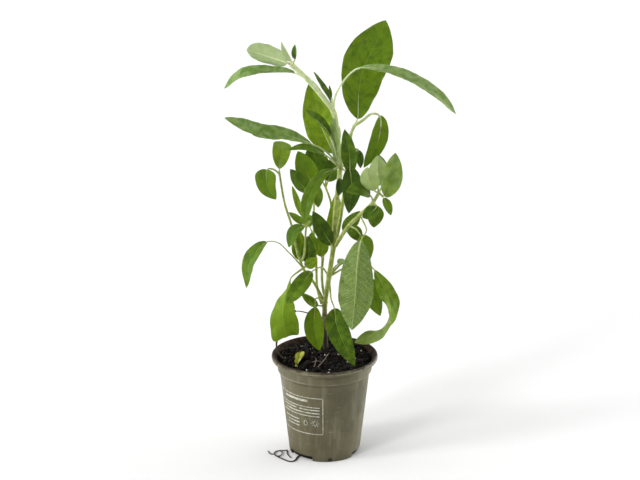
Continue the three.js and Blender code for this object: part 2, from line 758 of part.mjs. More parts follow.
const fallen = leafSolid(FALLEN_LEAF, FALLEN_LEAF.foot);
part.add(meshOf("fallen_leaf", fallen, finish(0x96912e, 0.7)));
part.add(meshOf("root_tuft", rootTuft(), finish(0x2e241c, 0.9)));

export default part;
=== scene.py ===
# A potted sage: a round plastic nursery pot, its potting mix and one branching sage plant.
# Sizes in the tables are millimetres, and each piece is made in metres in the part's own frame.
import math
import random

import bmesh
import bpy
from mathutils import Matrix, Vector, noise


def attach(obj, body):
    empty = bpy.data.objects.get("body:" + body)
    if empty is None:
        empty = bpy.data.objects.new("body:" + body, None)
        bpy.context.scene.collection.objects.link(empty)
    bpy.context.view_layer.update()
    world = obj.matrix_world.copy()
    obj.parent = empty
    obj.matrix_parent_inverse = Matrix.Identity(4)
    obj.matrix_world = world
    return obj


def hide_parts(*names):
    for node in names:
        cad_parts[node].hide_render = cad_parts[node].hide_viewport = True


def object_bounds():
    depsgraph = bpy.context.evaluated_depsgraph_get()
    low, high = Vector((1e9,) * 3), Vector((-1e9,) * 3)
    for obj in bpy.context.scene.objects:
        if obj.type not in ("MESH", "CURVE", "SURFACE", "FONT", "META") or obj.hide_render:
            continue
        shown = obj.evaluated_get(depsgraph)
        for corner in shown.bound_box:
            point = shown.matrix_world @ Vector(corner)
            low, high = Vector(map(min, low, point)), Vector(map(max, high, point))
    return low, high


SEED = 11

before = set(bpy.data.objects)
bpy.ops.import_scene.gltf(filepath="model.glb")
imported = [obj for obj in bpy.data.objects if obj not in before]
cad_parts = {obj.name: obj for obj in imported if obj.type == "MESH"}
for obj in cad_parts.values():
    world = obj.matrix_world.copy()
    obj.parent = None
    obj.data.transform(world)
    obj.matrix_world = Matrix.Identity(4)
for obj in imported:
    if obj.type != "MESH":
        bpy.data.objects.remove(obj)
cad_box = [list(corner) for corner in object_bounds()]
chance = random.Random(SEED)
noise.seed_set(SEED)

MM = 0.001
MAP_UNIT = 100  # the millimetres that one unit of a piece's own map stands for

# ---------------------------------------------------------------- sizes in millimetres
POT_HEIGHT = 97
RIM_RADIUS = 50
LIP_HEIGHT = 5
COLLAR_RADIUS = 44.8
COLLAR_HEIGHT = 12.5
COLLAR_STEP = 2.6
FOOT_RADIUS = 33.2
WALL = 1.2
SLOT_COUNT = 3
SLOT_ANGLE = 50
SLOT_HEIGHT = 5
SLOT_DEPTH = 6
SLOT_MIDDLE = -15
LIP_FOOT = POT_HEIGHT - LIP_HEIGHT
COLLAR_FOOT = LIP_FOOT - COLLAR_HEIGHT
WALL_TOP_RADIUS = COLLAR_RADIUS - COLLAR_STEP
COLLAR_INSIDE = COLLAR_RADIUS - WALL - 0.3

SOIL_LEVEL = 92
MOUND_HEIGHT = 5
MOUND_SPREAD = 19
MOUND_MIDDLE = (1, 12)
SOIL_RELIEF = 1
CLODS = ((0.35, 1.2), (0.9, 0.7), (2.1, 0.35))  # fineness and height
SEAT_GAP = 0.3

BLADE_THICKNESS = 0.5
PETIOLE_RADIUS = 1
PETIOLE_TAPER = (1.15, 0.55)
WAVE_LENGTH = 17
FOOT_FULLNESS = 0.62
TIP_FULLNESS = 0.85
FOLD_TAPER = (1.2, 0.6)
TOOTH_LENGTH = 1.9  # one scallop of a leaf's margin
TOOTH_DEPTH = 0.16
LOBE_POWER = 4
WIDE_LEAF = 14  # narrower blades have shallower ribs and teeth
RIB_REACH = 0.93  # of a blade's length
RIB_DEPTH = (0.5, 0.2)  # under the blade's middle, at its foot and its tip
STALK_SLIMNESS = 0.92
STALK_TAPER = (PETIOLE_TAPER[0], PETIOLE_TAPER[1] * 1.15)
BARK_GRAIN = 0.7348
BARK_DEPTH = 0.25


# ---------------------------------------------------------------- the plant
def leaf(node, petiole, blade, width, face, light, warm, fold=14, roll=0, ripple=0, belly=0.42,
         point=1.9, notch=0, stalk=PETIOLE_RADIUS):
    """One leaf. node is the spine point that it grows from, petiole the bends of its stalk and blade
    the points of its midrib, foot first. Its upper side looks along face. light runs from -1 for a
    deep green to 1 for a pale one, and warm from 0 for a grey green to 1 for a yellow one. Both hold
    the leaf's own tone and painted light as well: deep greens paint shade on leaves that lie in
    shadow, pale greens paint sheen and strong light, and yellow greens the glow of leaves lit from
    behind."""
    return dict(locals())


def shoot(name, radii, spine, leaves):
    """A stem with its leaves. radii are at its foot and its tip, and spine runs between them."""
    return dict(locals())


# The light and warm of each leaf below hold painted shade, sheen and glow as well as the leaf's own tone.
PLANT = [
    shoot("woody_stem", (2.8, 2.4), [(1, 12, 68), (1, 12, 94), (0, 10, 117), (0, 8, 138)], [
        leaf(2, [(-5, 8, 133), (-15, 4, 136), (-22, -2, 140)], [(-26, -4, 141), (-30, -6, 138),
             (-27, -9, 132)], 7, (-0.6, -0.6, 0.5), -0.9, 0.1, fold=50, roll=90, stalk=0.8),
    ]),
    shoot("leader_shoot", (2.2, 2.4), [(0, 8, 138.5), (0, 8, 142), (4, 5, 172), (8, 3, 202), (10, 2, 239),
          (14, 0, 281), (12, -2, 308), (8, -4, 335), (0, -5, 347), (-15, -7, 366), (-30, -8, 381)], [
        leaf(10, [], [(-34, -6, 382), (-52, 2, 386), (-71, 8, 390.5)], 23, (0, 0.9, 0.4), 0.6, -0.15,
             point=4.5, stalk=1.5),
        leaf(10, [], [(-30, -12, 385), (-34, -14, 394), (-39, -15, 404)], 10, (-1, 0.5, -0.4), 0.8, 0.1,
             fold=45, stalk=1.6),
        leaf(10, [], [(-27, -6, 385), (-27, -3, 392), (-27, -2, 398)], 7, (-1, -1, 0.4), 0, 0, fold=30),
        leaf(9, [], [(-27, -5, 372), (-46, 3, 371), (-64, 8, 369.5), (-79, 13, 364), (-92, 18, 351)], 15,
             (0, -0.4, 0.95), 0.45, -0.3, fold=22, roll=-50, point=2.6),
        leaf(7, [], [(6, -3, 343), (-3, 0, 358), (-10, 3, 371)], 11, (0.8, -0.3, 0.5), -0.6, 0.6,
             fold=25),
        leaf(7, [], [(6, -8, 350), (5, -9, 356), (4, -10, 362)], 3, (0, -1, 0), -0.5, 0.4),
        leaf(7, [(9, -8, 349), (14, -12, 362), (23, -16, 375)], [(31, -20, 381), (54, -27, 381),
             (77, -34, 375), (102, -42, 361), (117, -46, 346)], 14, (0.2, -0.45, 0.9), 0.65, 0, fold=20,
             belly=0.5, point=3.4),
        leaf(5, [], [(8, 8, 292), (-5, 28, 317), (-13, 42, 353)], 32, (0.1, -1, 0.1), 0.45, 1, ripple=0.8,
             belly=0.32, stalk=1.3),
        leaf(5, [(11, -5, 294)], [(5, -8, 313), (-6, -10, 329), (-18, -12, 340)], 12, (0.7, -0.4, 0.5),
             -0.5, 0.7, fold=22, stalk=1.2),
        leaf(5, [(2, -6, 297)], [(-12, -12, 307), (-36, -22, 319), (-57, -30, 324), (-75, -37, 333),
             (-90, -42, 341)], 17, (0.1, -0.6, 0.8), 0.4, 0.15, ripple=0.4, belly=0.62, point=2.2),
        leaf(5, [(6, -6, 290)], [(0, -9, 296), (-18, -15, 305), (-34, -18, 303.5)], 8, (0, -0.7, 0.7),
             0.1, 0.3, fold=20),
        leaf(5, [], [(8, -10, 282), (-3, -22, 280), (-15, -34, 263), (-19, -38, 238)], 12,
             (0.3, -0.8, 0.5), 0.1, 0.5, belly=0.6),
        leaf(5, [], [(22, -8, 279), (22, -14, 300), (18, -15, 322)], 15, (-0.2, -1, 0.1), -0.65, 0.6),
        leaf(5, [(19, -5, 284)], [(22, -9, 284), (24.5, -14, 266), (22, -14, 241)], 19, (0.2, -0.9, 0.4),
             -0.9, 0.6, belly=0.35),
        leaf(5, [], [(14, -5, 272), (14, -7, 265), (13, -8, 256)], 8, (0, -1, 0.2), -1, 0.4),
        leaf(5, [], [(11, -4, 288), (9.5, -6, 306), (7, -7, 331)], 8.5, (-0.3, -1, 0), 0.75, 0.1),
        leaf(3, [], [(6, -3, 207), (-2, -6, 222), (-11, -8, 241)], 16, (0.2, -1, 0.1), -0.75, 1),
        leaf(3, [(3, 8, 204)], [(4, 15, 209), (10, 20, 228), (11, 22, 249)], 14, (0, -1, 0.2), 0.6, 1),
        leaf(5, [(17, 8, 285)], [(19, 16, 288), (23, 36, 288), (27, 58, 276)], 17, (0.2, -0.3, 1), -0.2,
             0.4),
        leaf(2, [(9, 13, 178)], [(13, 20, 179), (24, 38, 172), (36, 54, 156)], 17, (0.3, 0.1, 1), -0.2,
             0.5),
        leaf(2, [(23, 15, 179), (40, 22, 178)], [(47, 23, 172), (57, 19, 153), (62, 12, 140),
             (59, 3, 127), (49, -5, 120), (28, -12, 112.5)], 21, (0.91, -0.41, 0), 0.3, 0.75, roll=-240,
             ripple=0.5, belly=0.54, point=2.6),
        leaf(2, [(18, 15, 182)], [(33, 22, 169), (44, 30, 146), (53, 36, 121)], 19, (0.1, -1, 0.3), -0.1,
             0.9),
        leaf(2, [(-3, -8, 186)], [(-12, -20, 186), (-22, -31, 177), (-36, -35, 159)], 16,
             (-0.2, -0.9, 0.4), -0.4, 0.9),
        leaf(1, [(-6, -1, 153), (-9, -9, 154)], [(-9, -14, 149), (-10, -18, 131), (-5, -15, 106)], 19,
             (-0.1, -1, 0.2), -0.1, 1.3),
        leaf(2, [(5, -6, 165), (6, -15, 157)], [(9, -20, 150), (11, -25, 135), (17, -29, 120),
             (28, -32, 97)], 22, (0, -0.95, 0.3), -0.62, 1.25, belly=0.26),
        leaf(1, [], [(-6, 3, 144), (-14, 0, 150), (-22, -1, 158)], 9, (0.2, -0.8, 0.6), 0.3, 0.9),
    ]),
    shoot("upright_shoot", (1.8, 1.3), [(9, 4, 203), (13, 9, 219), (17, 12, 245), (21, 12, 279),
          (24, 10, 309), (27, 9, 318)], [
        leaf(5, [], [(30, 11, 324), (31, 19, 346), (36, 29, 369), (46, 37, 387), (56, 46, 408)], 43,
             (0.1, -1, 0.2), -0.22, 0.9, ripple=0.9, belly=0.6, point=1.7),
        leaf(5, [(35, 7, 324), (43, 7, 330)], [(50, 8, 328), (49, 10, 303), (36, 8, 278)], 17,
             (0.3, -1, 0.1), -0.1, 0.9, fold=8, stalk=1.5),
        leaf(4, [(26, 7, 293)], [(30, 4, 296), (32, 2, 289), (33, 0, 280)], 8, (0.3, -1, 0.1), -0.6, 0.4),
    ]),
    shoot("right_shoot", (1.8, 1.4), [(10, 1, 204), (14, -4, 213), (22, -12, 228), (32, -22, 242),
          (44, -32, 258), (49, -38, 269)], [
        leaf(5, [], [(54, -39, 266), (60, -36, 286), (64, -32, 305)], 22, (0.3, -1, 0.1), 0.6, 0.45,
             fold=24),
        leaf(5, [], [(45, -42, 272), (40, -47, 284), (38, -50, 297)], 18, (0.15, 1, 0.2), 0.5, 0.4),
        leaf(5, [], [(48, -34, 274), (48.5, -28, 286), (48, -24, 300)], 19, (0.1, 1, 0.3), 0.5, 0.3),
        leaf(5, [(51, -30, 270)], [(54, -22, 278), (53, -16, 287), (49, -12, 297)], 9, (0.3, -1, 0), -0.5,
             0.3),
        leaf(4, [], [(41, -39, 267), (31, -46, 275), (19, -50, 274)], 16, (-0.1, -0.7, 0.7), -0.45, 0.75),
        leaf(4, [], [(47, -36, 255), (42, -38, 250), (34, -40, 246)], 13, (0, -0.8, 0.5), -0.6, 0.3),
        leaf(4, [], [(45, -26, 254), (46, -20, 244), (45, -16, 228)], 17, (0.2, -1, 0.3), -0.35, 0.8,
             fold=30),
        leaf(5, [], [(53, -41, 265), (57, -44, 258), (60, -46, 250)], 9, (0.5, -0.9, 0.3), -0.2, 0.8),
        leaf(3, [(36, -28, 236), (38, -34, 231)], [(33, -38, 223), (30, -42, 203), (28, -45, 173),
             (25, -42, 137)], 33, (0.1, 1, 0.1), -0.5, 0.4, ripple=1.4, belly=0.57, point=1.9, stalk=0.8),
        leaf(2, [(28, -6, 223)], [(33, 0, 215), (37, 8, 200), (41, 14, 184)], 18, (0.3, -1, 0.2), 0, 0.8),
        leaf(1, [], [(17, 0, 219), (25, 8, 225), (33, 16, 233)], 13, (0, -0.9, 0.4), -0.1, 0.6),
        leaf(1, [], [(20, 1, 219), (27, 5, 217), (34, 8, 206)], 13, (0, -0.9, 0.3), -0.2, 0.8),
    ]),
    shoot("left_shoot", (1.4, 1), [(-1, 9, 147), (-10, 5, 166), (-20, -2, 183), (-27, 0, 205),
          (-31, 4, 224), (-37, 10, 242), (-42, 18, 269)], [
        leaf(6, [], [(-42, 20, 273), (-41, 26, 284), (-39, 34, 295)], 18, (0.2, -1, 0.3), 0.6, 0.8,
             belly=0.72, point=5),
        leaf(6, [(-48, 13, 275)], [(-53, 8, 276), (-53, 2, 263), (-45, -1, 250)], 21, (-0.3, -0.9, 0.4),
             -0.15, 0.7, belly=0.22),
        leaf(2, [], [(-22, 2, 189), (-24, 5, 200), (-23, 7, 217)], 15, (0.2, -1, 0.1), 0.55, 1.1),
        leaf(2, [], [(-16, 0, 186), (-15, 0, 198), (-16, 0, 214)], 14, (0, -1, 0.1), -0.7, 0.7),
        leaf(2, [(-25, -12, 193), (-34, -20, 206), (-43, -27, 217)], [(-53, -31, 219), (-68, -36, 203),
             (-72, -38, 177)], 16, (-0.5, -0.6, 0.7), -0.3, 0.4, stalk=0.75),
        leaf(2, [(-30, -10, 178)], [(-32, -14, 176), (-37, -20, 163), (-39, -25, 147), (-37, -27, 131),
             (-36, -25, 123)], 27, (-0.54, -0.84, 0.2), -0.05, 1.1, fold=-14, roll=-110, ripple=1,
             belly=0.74, point=5, notch=12),
        leaf(2, [], [(-18, -5, 186), (-13, -7, 190), (-7, -9, 196)], 11, (0, -1, 0.1), 0.5, 1),
    ]),
    shoot("middle_left_shoot", (1.1, 0.9), [(-21, -4, 191), (-19, -9, 199), (-18, -14, 215),
          (-17, -17, 228), (-14, -19, 235)], [
        leaf(3, [], [(-21, -13, 238), (-26, -8, 252), (-30, -6, 265)], 6.5, (0.3, -1, 0.2), 0.5, 0.9),
        leaf(3, [], [(-20, -15, 231), (-26, -13, 236), (-33, -11, 241)], 7, (0, -0.8, 0.5), 0.1, 0.7),
        leaf(4, [], [(-19, -23, 232), (-28, -28, 228), (-33, -31, 214)], 12, (-0.2, -0.8, 0.6), -0.05,
             0.15),
    ]),
    shoot("back_shoot", (1.4, 1), [(2, 11, 143), (-2, 18, 158), (-2, 26, 180), (3, 34, 204), (6, 40, 231),
          (1, 44, 247)], [
        leaf(5, [], [(3, 46, 252), (7, 49, 262), (8, 52, 275)], 16, (-0.2, -1, 0.2), -0.5, 0.8),
        leaf(5, [], [(-3, 46, 254), (-8, 50, 268), (-12, 56, 286)], 25, (0.2, -1, 0.2), -0.6, 0.7),
        leaf(5, [(1, 51, 252)], [(0, 56, 255), (-5, 68, 258), (-10, 80, 252)], 13, (0, 0, 1), -0.2, 0.5),
        leaf(2, [], [(-3, 27, 184), (-3, 28, 194), (-2, 29, 208)], 14, (0, -1, 0.1), 0.5, 1),
    ]),
    shoot("inner_left_shoot", (1.3, 0.9), [(-3, 10, 143), (-7, 14, 158), (-8, 18, 182), (-10, 24, 204),
          (-10, 28, 232), (-9, 30, 249)], [
        leaf(5, [], [(-12, 30, 255), (-18, 31, 270), (-25, 30, 287)], 20, (0.2, -1, 0.1), 0.1, 0.9),
        leaf(5, [], [(-15, 27, 249), (-24, 25, 259), (-32, 22, 272)], 14, (0.2, -0.8, 0.4), -0.4, 0.6),
        leaf(5, [], [(-9, 25, 256), (-7, 22, 248), (-6, 20, 235)], 11, (0, -1, 0.2), 0.1, 0.7),
        leaf(3, [(-12, 30, 208)], [(-14, 34, 211), (-18, 46, 216), (-22, 58, 213)], 13, (0, 0, 1), -0.1,
             0.5),
        leaf(2, [], [(-10, 16, 188), (-12, 13, 200), (-12, 12, 214)], 13, (0.1, -1, 0.1), 0.5, 1),
    ]),
]
FALLEN_LEAF = leaf(0, [], [(-26, -21, 94.4), (-24, -12, 96.6), (-22, -3, 99.7)], 9.5, (-0.3, 0, 1), 0.1,
    1, fold=20, belly=0.7, point=4)
FALLEN_LEAF_FOOT = (-27, -24, 94.2)
ROOTS = [  # half the thickness of each root, and its route
    (0.6, [(-23, -18.5, 0.65), (-25.8, -22.5, 0.65), (-27.3, -28.5, 0.7), (-29.8, -32.3, 0.7),
           (-33.3, -32.6, 0.7), (-39.3, -27.2, 0.7), (-45, -21, 0.7), (-47.7, -15.6, 0.7),
           (-46.9, -10.6, 0.7), (-43.3, -7.8, 0.7), (-38.6, -7.5, 0.7), (-35, -6.6, 0.7)]),
    (0.45, [(-44.6, -21.2, 0.7), (-42, -19.6, 0.8), (-40.5, -16, 0.8), (-40.8, -11, 0.8),
            (-42.5, -8, 0.7)]),
    (0.45, [(-35.4, -7, 0.6), (-35.8, -12, 0.5), (-34.4, -18, 0.5), (-32, -24, 0.5)]),
    (0.45, [(-47.6, -15.6, 0.6), (-50.5, -15.2, 0.5), (-52.8, -12, 0.5), (-53.8, -7.5, 0.5)]),
]


# ---------------------------------------------------------------- making a piece
def clear_selection():
    if bpy.context.object and bpy.context.object.mode != "OBJECT":
        bpy.ops.object.mode_set(mode="OBJECT")
    bpy.ops.object.select_all(action="DESELECT")


def new_piece(name):
    piece = bpy.context.object
    piece.name = name
    piece.data.name = name
    return piece


def grid(name, columns, rows):
    """A square grid to shape: a metre wide and deep, about the origin."""
    clear_selection()
    bpy.ops.mesh.primitive_grid_add(x_subdivisions=columns, y_subdivisions=rows, size=1)
    return new_piece(name)


def take(piece):
    clear_selection()
    piece.select_set(True)
    bpy.context.view_layer.objects.active = piece


def finish_with(piece, kind, **settings):
    """Adds a modifier with those settings and applies it."""
    take(piece)
    modifier = piece.modifiers.new(kind.title(), kind)
    for key, value in settings.items():
        setattr(modifier, key, value)
    bpy.ops.object.modifier_apply(modifier=modifier.name)


def joined(name, pieces):
    take(pieces[0])
    for piece in pieces:
        piece.select_set(True)
    if len(pieces) > 1:
        bpy.ops.object.join()
    return new_piece(name)


def smooth(piece, angle=40):
    take(piece)
    bpy.ops.object.shade_smooth_by_angle(angle=math.radians(angle))


def close_seams(piece, outwards=True, open_ends=False):
    """Merges doubled points and, where asked, closes open ends and turns every face outwards."""
    take(piece)
    bpy.ops.object.mode_set(mode="EDIT")
    bpy.ops.mesh.select_all(action="SELECT")
    bpy.ops.mesh.remove_doubles(threshold=1e-6)
    if open_ends:
        bpy.ops.mesh.select_all(action="DESELECT")
        bpy.ops.mesh.select_non_manifold()
        bpy.ops.mesh.fill_holes(sides=0)
        bpy.ops.mesh.select_all(action="SELECT")
    if outwards:
        bpy.ops.mesh.normals_make_consistent(inside=False)
    bpy.ops.object.mode_set(mode="OBJECT")


def mark(piece, **values):
    """Writes one number per name into the piece as point attributes for its finish to read."""
    for key, value in values.items():
        layer = piece.data.attributes.new(key, "FLOAT", "POINT")
        count = len(piece.data.vertices)
        layer.data.foreach_set("value", value if isinstance(value, list) else [value] * count)


def hand_over(piece, slot, *nodes):
    """Ties a finished piece to the part."""
    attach(piece, "root")
    if nodes:
        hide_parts(*nodes)
    return piece


def coated(piece, material, angle, slot, *nodes):
    """Gives a piece its one finish, smooths it up to that angle and ties it to the part."""
    piece.data.materials.append(material)
    smooth(piece, angle)
    return hand_over(piece, slot, *nodes)


def lerp(low, high, share):
    return low + (high - low) * share


def clamp(value, low=0.0, high=1.0):
    return max(low, min(high, value))


# ---------------------------------------------------------------- paths
class Path:
    """A smooth path through points, sampled finely, with its length so far at each sample."""

    STEPS = 16

    def __init__(self, points):
        knots = [Vector(point) for point in points]
        ends = [2 * knots[0] - knots[1], *knots, 2 * knots[-1] - knots[-2]]
        self.spots = []
        for i in range(len(knots) - 1):
            self.spots += [self.between(ends[i : i + 4], j / self.STEPS) for j in range(self.STEPS)]
        self.spots.append(knots[-1].copy())
        self.lengths = [0.0]
        for last, spot in zip(self.spots, self.spots[1:]):
            self.lengths.append(self.lengths[-1] + (spot - last).length)
        self.length = self.lengths[-1]

    @staticmethod
    def between(knots, share):
        p0, p1, p2, p3 = knots
        d0, d1, d2 = [math.sqrt((b - a).length) for a, b in ((p0, p1), (p1, p2), (p2, p3))]
        out = ((p1 - p0) / d0 - (p2 - p0) / (d0 + d1) + (p2 - p1) / d1) * d1
        back = ((p2 - p1) / d1 - (p3 - p1) / (d1 + d2) + (p3 - p2) / d2) * d1
        c2 = 3 * (p2 - p1) - 2 * out - back
        c3 = 2 * (p1 - p2) + out + back
        return p1 + out * share + c2 * share**2 + c3 * share**3

    def length_to(self, index):
        return self.lengths[index * self.STEPS]

    def at(self, length):
        low, high = 1, len(self.lengths) - 1
        while low < high:
            middle = (low + high) // 2
            if self.lengths[middle] < length:
                low = middle + 1
            else:
                high = middle
        step = self.lengths[low] - self.lengths[low - 1]
        return self.spots[low - 1].lerp(self.spots[low], (length - self.lengths[low - 1]) / step)

    def tangent(self, length):
        return (self.at(min(length + 0.5, self.length)) - self.at(max(length - 0.5, 0))).normalized()


def tube(name, path, start, end, radius, sides, rows, square=0.0):
    """A tube along a path, from a grid rolled up round it and closed at both ends. radius is a
    function of the share, and square flattens its sides, as on a square stem."""
    piece = grid(name, sides, rows)
    rings = []
    across = Vector((0.31, 0.87, 0.11))
    for i in range(rows + 1):
        length = lerp(start, end, i / rows)
        along = path.tangent(length)
        across = (across - along * across.dot(along)).normalized()
        rings.append((path.at(length), across, along.cross(across), radius(i / rows)))
    uvs = {}
    for vertex in piece.data.vertices:
        i = round((vertex.co.y + 0.5) * rows)
        j = round((vertex.co.x + 0.5) * sides)
        turn = 2 * math.pi * (j % sides) / sides
        middle, up, side, reach = rings[i]
        reach *= 1 + square * (math.cos(4 * turn) * 0.5 - 0.2)
        spot = middle + (up * math.cos(turn) + side * math.sin(turn)) * reach
        girth = 2 * math.pi * rings[i][3]
        uvs[vertex.index] = (j / sides * girth / MAP_UNIT, lerp(start, end, i / rows) / MAP_UNIT)
        vertex.co = spot * MM
    for loop, uv in zip(piece.data.loops, piece.data.uv_layers[0].data):
        uv.uv = uvs[loop.vertex_index]
    close_seams(piece, open_ends=True)
    return piece


def strand(name, route, thick, thin, sides, rows=0):
    """A tube along the whole of a route, from one radius to the other."""
    path = Path(route)
    rows = rows or round(path.length / 1.2)
    return tube(name, path, 0, path.length, lambda share: lerp(thick, thin, share), sides, rows)


# ---------------------------------------------------------------- finishes
def shade(red, green, blue):
    """A colour from its 0 to 255 screen values."""
    def linear(value):
        value /= 255
        return value / 12.92 if value <= 0.04045 else ((value + 0.055) / 1.055) ** 2.4
    return (linear(red), linear(green), linear(blue), 1)


def working(operation, swapped=False):
    """A method that makes one sum with another number."""
    def method(self, other=0):
        return self.nodes.sum(operation, *((other, self) if swapped else (self, other)))
    return method


class Output:
    """What a node gives out. A sum with it makes one more node."""

    __add__ = working("ADD")
    __sub__ = working("SUBTRACT")
    __rsub__ = working("SUBTRACT", swapped=True)
    __mul__ = working("MULTIPLY")
    __truediv__ = working("DIVIDE")
    __rtruediv__ = working("DIVIDE", swapped=True)
    __pow__ = working("POWER")
    __gt__ = working("GREATER_THAN")
    __lt__ = working("LESS_THAN")
    __abs__ = working("ABSOLUTE")
    most = working("MAXIMUM")

    def __init__(self, nodes, socket):
        self.nodes = nodes
        self.socket = socket

    def rise(self, low, high, bottom=0.0, top=1.0):
        """Runs smoothly from bottom to top as this goes from low to high."""
        made = self.nodes.add("MapRange", {"interpolation_type": "SMOOTHSTEP"}, Value=self)
        for key, number in (("From Min", low), ("From Max", high), ("To Min", bottom), ("To Max", top)):
            self.nodes.feed(made.inputs[key], number)
        return Output(self.nodes, made.outputs[0])


class Nodes:
    """Adds nodes to one tree."""

    def __init__(self, tree):
        self.tree = tree

    def feed(self, socket, value):
        if isinstance(value, Output):
            self.tree.links.new(value.socket, socket)
        else:
            socket.default_value = value

    def add(self, kind, settings, **inputs):
        made = self.tree.nodes.new("ShaderNode" + kind)
        for key, value in settings.items():
            setattr(made, key, value)
        for key, value in inputs.items():
            self.feed(made.inputs[key.replace("_", " ")], value)
        return made

    def get(self, output, kind, settings=None, **inputs):
        return Output(self, self.add(kind, settings or {}, **inputs).outputs[output])

    def sum(self, operation, *values):
        made = self.add("Math", {"operation": operation})
        for socket, value in zip(made.inputs, values):
            self.feed(socket, value)
        return Output(self, made.outputs[0])

    def split(self, vector):
        """The three numbers of a vector."""
        made = self.add("SeparateXYZ", {}, Vector=vector)
        return [Output(self, socket) for socket in made.outputs]


class Finish(Nodes):
    """One material, built round its Principled shader."""

    def __init__(self, name, **sockets):
        self.material = bpy.data.materials.new(name)
        self.material.use_nodes = True
        super().__init__(self.material.node_tree)
        self.shader = self.tree.nodes["Principled BSDF"]
        for key, value in sockets.items():
            self.shader.inputs[key.replace("_", " ")].default_value = value

    def mix(self, share, first, second):
        made = self.add("Mix", {"data_type": "RGBA"})
        for place, value in ((0, share), (6, first), (7, second)):
            self.feed(made.inputs[place], value)
        return Output(self, made.outputs[2])

    def place(self):
        return self.get("Object", "TexCoord")

    def across_and_along(self):
        """The two numbers of a piece's own map."""
        return self.split(self.get(0, "UVMap", {"uv_map": "UVMap"}))[:2]

    def stretched(self, place, *scale):
        return self.get(0, "Mapping", Vector=place, Scale=scale)

    def noise(self, place, scale, detail=3.0, roughness=0.55):
        return self.get("Fac", "TexNoise", Vector=place, Scale=scale, Detail=detail, Roughness=roughness)

    def cells(self, place, scale, feature="F1"):
        return self.get("Distance", "TexVoronoi", {"feature": feature}, Vector=place, Scale=scale)

    def number(self, name):
        return self.get("Fac", "Attribute", {"attribute_name": name})

    def colour(self, value):
        self.feed(self.shader.inputs["Base Color"], value)

    def roughness(self, value):
        self.feed(self.shader.inputs["Roughness"], value)

    def bump(self, height, depth):
        """depth is the height of the relief in millimetres."""
        bumped = self.get(0, "Bump", Strength=1.0, Distance=depth * MM, Height=height)
        self.feed(self.shader.inputs["Normal"], bumped)


def vein_pattern(finish):
    """A blade's veins as four numbers from 0 to 1: midrib, side veins, the net between them and the
    small cushions inside the net."""
    across, along = [part * MAP_UNIT for part in finish.across_and_along()]
    gap = finish.number("gap")
    place = finish.get(0, "CombineXYZ", X=across, Y=along, Z=finish.number("seed"))
    away = abs(across)
    sway = (finish.noise(place, 0.16) - 0.5) * 2.2
    midrib = (away - finish.number("rib")).rise(0.15, -0.15)
    stagger = (across > 0) * 0.45
    turns = (along - away * 0.85 + sway) / gap + stagger
    off = abs(finish.sum("FRACT", turns) - 0.5) * gap
    side = off.rise(0.3, 0.08)
    edge = finish.cells(place, 3.6 / gap, "DISTANCE_TO_EDGE")
    return midrib, side, edge.rise(0.13, 0.02), edge.rise(0.0, 0.38), place


def blade_finish(name, deep, grey, warm, pale_grey, pale_warm, vein, vein_share, relief, patchy):
    """One face of a leaf. Its own numbers light and warm choose between the greens, which paint shade,
    sheen and glow from behind as well as the leaf's own tone.
    """
    finish = Finish(name, Specular_IOR_Level=0.1, Subsurface_Weight=0.3,
                    Subsurface_Radius=(0.7, 1.0, 0.2), Subsurface_Scale=0.001)
    midrib, side, net, cushion, place = vein_pattern(finish)
    light = finish.number("light") + finish.noise(place, 0.16, 4).rise(0.3, 0.7, -patchy, patchy)
    leaning = finish.number("warm") + finish.noise(place, 0.11, 3).rise(0.3, 0.7, -0.2, 0.2)
    base = finish.mix(leaning, grey, warm)
    # Painted light: below 0, light darkens the leaf towards deep green as painted shade; above 0 it pales
    # the leaf as painted sheen and strong light.
    base = finish.mix(light.rise(0, -1), base, deep)
    base = finish.mix(light.rise(0, 1), base, finish.mix(leaning, pale_grey, pale_warm))
    ribs = (side * 0.55).most(net * 0.4).most(midrib)
    finish.colour(finish.mix(ribs * vein_share, base, vein))
    finish.roughness(finish.noise(place, 0.9).rise(0.2, 0.8, 0.5, 0.68))
    veins = side * 0.8 + net * 0.4
    height = cushion * (1 - relief) + veins * (relief - 0.4)
    finish.bump(height + finish.noise(place, 5, 2) * 0.25, 0.2)
    return finish.material


def stalk_finish():
    """Young stems and leaf stalks: pale green with fine ribs, browner and corky towards the foot."""
    finish = Finish("sage_stem", Roughness=0.62, Specular_IOR_Level=0.2, Sheen_Weight=0.2,
                    Sheen_Roughness=0.4, Sheen_Tint=shade(235, 238, 225), Subsurface_Weight=0.15,
                    Subsurface_Radius=(0.8, 1, 0.4), Subsurface_Scale=0.001)
    place = finish.place()
    height = finish.split(place)[2]
    mottle = finish.noise(place, 260, 4)
    low = finish.mix(mottle.rise(0.3, 0.7), shade(112, 126, 46), shade(148, 158, 84))
    high = finish.mix(mottle.rise(0.3, 0.7), shade(164, 177, 122), shade(190, 200, 154))
    young = finish.mix(height.rise(0.24, 0.37), low, high)
    young = finish.mix(finish.noise(place, 90, 2).rise(0.55, 0.8), young, shade(112, 96, 58))
    cork = finish.mix(mottle.rise(0.35, 0.65), shade(70, 56, 36), shade(120, 106, 70))
    cork = finish.mix(height.rise(0.128, 0.108), cork, shade(38, 29, 19))
    grain = (finish.noise(place, 120, 2) - 0.5) * 0.02
    aged = (height + grain).rise(0.15, 0.132)
    finish.colour(finish.mix(aged * finish.number("age"), young, cork))
    rib = finish.sum("SINE", finish.across_and_along()[0] * 900)
    finish.bump(rib * 0.3 + finish.noise(place, 900, 3), 0.12)
    return finish.material


